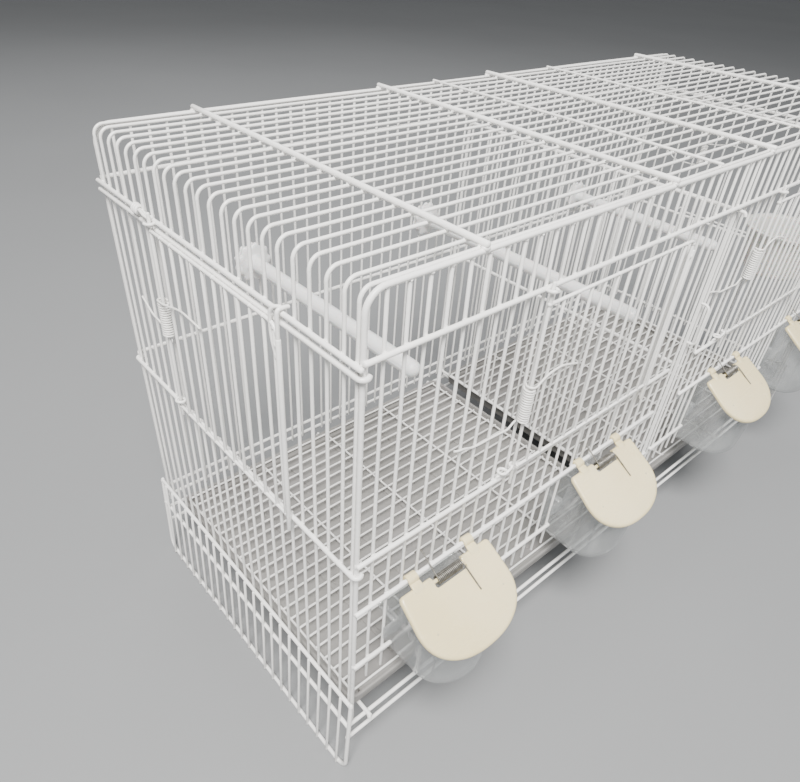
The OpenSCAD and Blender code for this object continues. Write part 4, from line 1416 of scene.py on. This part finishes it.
def lathe(rows, n, place, close=(True, True)):
    """rows of (radius(angle), height): closed body of revolution with lobes."""
    a = np.arange(n) * 2 * math.pi / n
    verts, faces = [], []
    for rf, h in rows:
        r = np.array([rf(q) for q in a]) if callable(rf) else np.full(n, rf)
        verts.extend(np.c_[r * np.cos(a), r * np.sin(a), np.full(n, h)].tolist())
    m = len(rows)
    for i in range(m - 1):
        for j in range(n):
            k = (j + 1) % n
            faces.append((i * n + j, i * n + k, (i + 1) * n + k, (i + 1) * n + j))
    c = len(verts)
    verts.append([0, 0, rows[0][1]])
    verts.append([0, 0, rows[-1][1]])
    for j in range(n):
        k = (j + 1) % n
        faces.append((c, k, j))
        faces.append((c + 1, (m - 1) * n + j, (m - 1) * n + k))
    return place(np.array(verts)), faces


def perch(i):
    k, kz, tip = PERCHES[i]
    y1 = YB - RW - 0.05
    zc = MID + kz * P
    L = y1 - ky(tip)

    def place(v):   # height runs toward the front
        return np.c_[kx(k) + v[:, 0], y1 - v[:, 2], zc + v[:, 1]]

    def lobes(base, amp):
        return lambda a: base + amp * math.cos(9 * a)

    b = Build()
    rows = [(lobes(13.2, 0.6), 0.0), (lobes(14.6, 1.0), 0.15), (lobes(15.3, 1.3), 0.8), (lobes(15.5, 1.4), 1.9), (lobes(15.2, 1.3), 2.9),
            (lobes(14.2, 1.1), 3.6), (lobes(12.4, 0.7), 4.05), (10.2, 4.2), (8.0, 4.4), (6.9, 5.2), (6.35, 7.0), (6.1, 9.3)]
    n = 16
    for q in np.linspace(0.06, 1, n):
        z = 9.3 + (L - 6 - 9.3) * q
        rows.append((6.0 + 0.05 * math.sin(q * 23), z))
    for a in (15, 30, 45, 60, 75, 84):
        rows.append((6.0 * math.cos(math.radians(a)), L - 6 + 6.0 * math.sin(math.radians(a))))
    v, f = lathe(rows, 54, place)
    b.add(v, f)
    # spigot that passes between the back uprights
    v, f = lathe([(2.6, -4.35), (3.3, -4.3), (3.55, -3.9), (3.55, 0.3)], 24, place)
    b.add(v, f)
    # mould line along the perch
    for s in (-1, 1):
        b.tube(place(np.array([[s * 5.93, 0, 9.0], [s * 5.93, 0, L * 0.5], [s * 5.93, 0, L - 8.0]])), 0.5, 6)
    b.obj(f"perch_{i + 1}_moulding", f"perch_{i + 1}", M_WHITE, [f"perch_{i + 1}"], "perch", sharp=60)

    def back(v):
        return np.c_[kx(k) + v[:, 0], YB + RW + 0.05 + v[:, 2], zc + v[:, 1]]

    c = Build()
    rows = [(lobes(11.6, 0.6), 0.0), (lobes(13.2, 1.1), 0.2), (lobes(13.8, 1.3), 0.9), (lobes(13.7, 1.3), 2.0), (lobes(13.0, 1.1), 2.9),
            (lobes(11.5, 0.5), 3.35), (8.0, 3.45), (6.0, 3.3), (5.0, 2.9), (3.0, 2.85)]
    v, f = lathe(rows, 54, back)
    c.add(v, f)
    c.obj(f"perch_nut_{i + 1}_moulding", f"perch_{i + 1}", M_WHITE, [f"perch_nut_{i + 1}"], "perch", sharp=60)


for i in range(3):
    perch(i)


# --------------------------------------------------------------------------
# Nest cup and hanger
# --------------------------------------------------------------------------
NEST_C = np.array([kx(52), ky(3.9), MID + 3.1 * P])
NEST_R = 42.0


def nest():
    b = Build()
    n = 168

    def fl(base, amp):
        return lambda a: base + amp * math.cos(42 * a)

    def put(v):
        return v + NEST_C

    rows = [(14.0, -52.0), (25.5, -52.0), (fl(27.6, 0.2), -51.4), (fl(28.5, 0.5), -50.0)]
    for q in np.linspace(0.06, 0.96, 12):
        rows.append((fl(28.5 + 8.9 * q, 0.65), -50.0 + 46.5 * q))
    rows += [(fl(37.6, 0.5), -3.1), (40.0, -2.95), (43.2, -2.85), (44.0, -2.2), (44.0, -0.8), (43.4, -0.1), (40.0, 0.0), (36.9, -0.4), (fl(36.0, 0.3), -2.5)]
    for q in np.linspace(0.94, 0.04, 12):
        rows.append((fl(26.6 + 9.1 * q, 0.55), -49.6 + 46.5 * q))
    rows += [(24.5, -49.8), (13.0, -49.9)]
    v, f = lathe(rows, n, put)
    b.add(v, f)
    # raised bars running out from the middle of the floor
    for j in range(12):
        a = j * math.pi / 6
        pts = [[r * math.cos(a), r * math.sin(a), -49.3] for r in (6, 12, 18, 24)]
        b.tube(put(np.array(pts)), 1.6, 6)
    b.obj("nest_cup_moulding", "nest_cup", M_NEST, ["nest_cup"], "nest", sharp=60)

    h = Build()
    rn = NEST_R - 1.6
    zr = NEST_C[2] - 3 - 1.1 - 0.05
    yi = YF + WIRE + 0.05
    h.ring((NEST_C[0], NEST_C[1], zr), rn, WIRE, "z", 72, 10)
    for dx in (-1.5 * P, 1.5 * P):
        x = NEST_C[0] + dx
        ye = NEST_C[1] - math.sqrt(rn * rn - dx * dx) + 0.5
        pts = [[x, ye, zr], [x, ye - 4, zr], [x, yi + 3, zr], [x, yi + 0.9, zr - 0.9], [x, yi, zr - 3], [x, yi, zr - 14], [x, yi, FRONT_MID + 5.2],
               [x, yi - 0.8, FRONT_MID + 3.3], [x, yi - 2.4, FRONT_MID + 2.8], [x, YF - LAY - RR + 0.5, FRONT_MID + 2.8], [x, YF - LAY - RR - 2, FRONT_MID + 2.2]]
        h.tube(np.array(pts), WIRE, 10)
        h.weld((x, ye, zr), (1.8, 1.8, 1.3))
    h.obj("nest_hanger_wire", "root", M_WIRE, ["nest_hanger"], "wire")


nest()

# --------------------------------------------------------------------------
# Floor, light
# --------------------------------------------------------------------------
fm = Mat("pale_floor")
fn = fm.noise(1.4, 3.0)
fm.link(fm.mix(fm.rng(fn, 0.0, 1.0, 0.3, 0.7), (0.235, 0.24, 0.245, 1), (0.22, 0.225, 0.23, 1)), fm.bsdf.inputs["Base Color"])
fm.set(rough=0.7)
me = bpy.data.meshes.new("floor")
me.from_pydata([(-20, -20, -0.0006), (20, -20, -0.0006), (20, 20, -0.0006), (-20, 20, -0.0006)], [], [(0, 1, 2, 3)])
me.materials.append(fm.m)
floor = bpy.data.objects.new("floor", me)
bpy.context.scene.collection.objects.link(floor)

world = bpy.data.worlds.new("studio")
world.use_nodes = True
bg = world.node_tree.nodes["Background"]
bg.inputs["Color"].default_value = (0.86, 0.88, 0.9, 1)
bg.inputs["Strength"].default_value = 0.34
bpy.context.scene.world = world


def softbox(name, loc, target, size, power, colour=(1, 1, 1)):
    d = bpy.data.lights.new(name, "AREA")
    d.shape = "RECTANGLE"
    d.size, d.size_y = size
    d.energy = power
    d.color = colour
    o = bpy.data.objects.new(name, d)
    bpy.context.scene.collection.objects.link(o)
    o.location = loc
    o.rotation_mode = "QUATERNION"
    o.rotation_quaternion = (Vector(target) - Vector(loc)).to_track_quat("-Z", "Y")


softbox("key", (-1.1, -0.9, 2.3), (0, 0, 0.2), (0.9, 0.9), 185.0, (1.0, 0.985, 0.96))
softbox("fill", (1.8, -1.6, 1.6), (0, 0, 0.2), (1.6, 1.2), 18.0, (0.95, 0.97, 1.0))
softbox("back", (0.6, 2.0, 1.9), (0, 0, 0.3), (1.8, 1.0), 22.0)
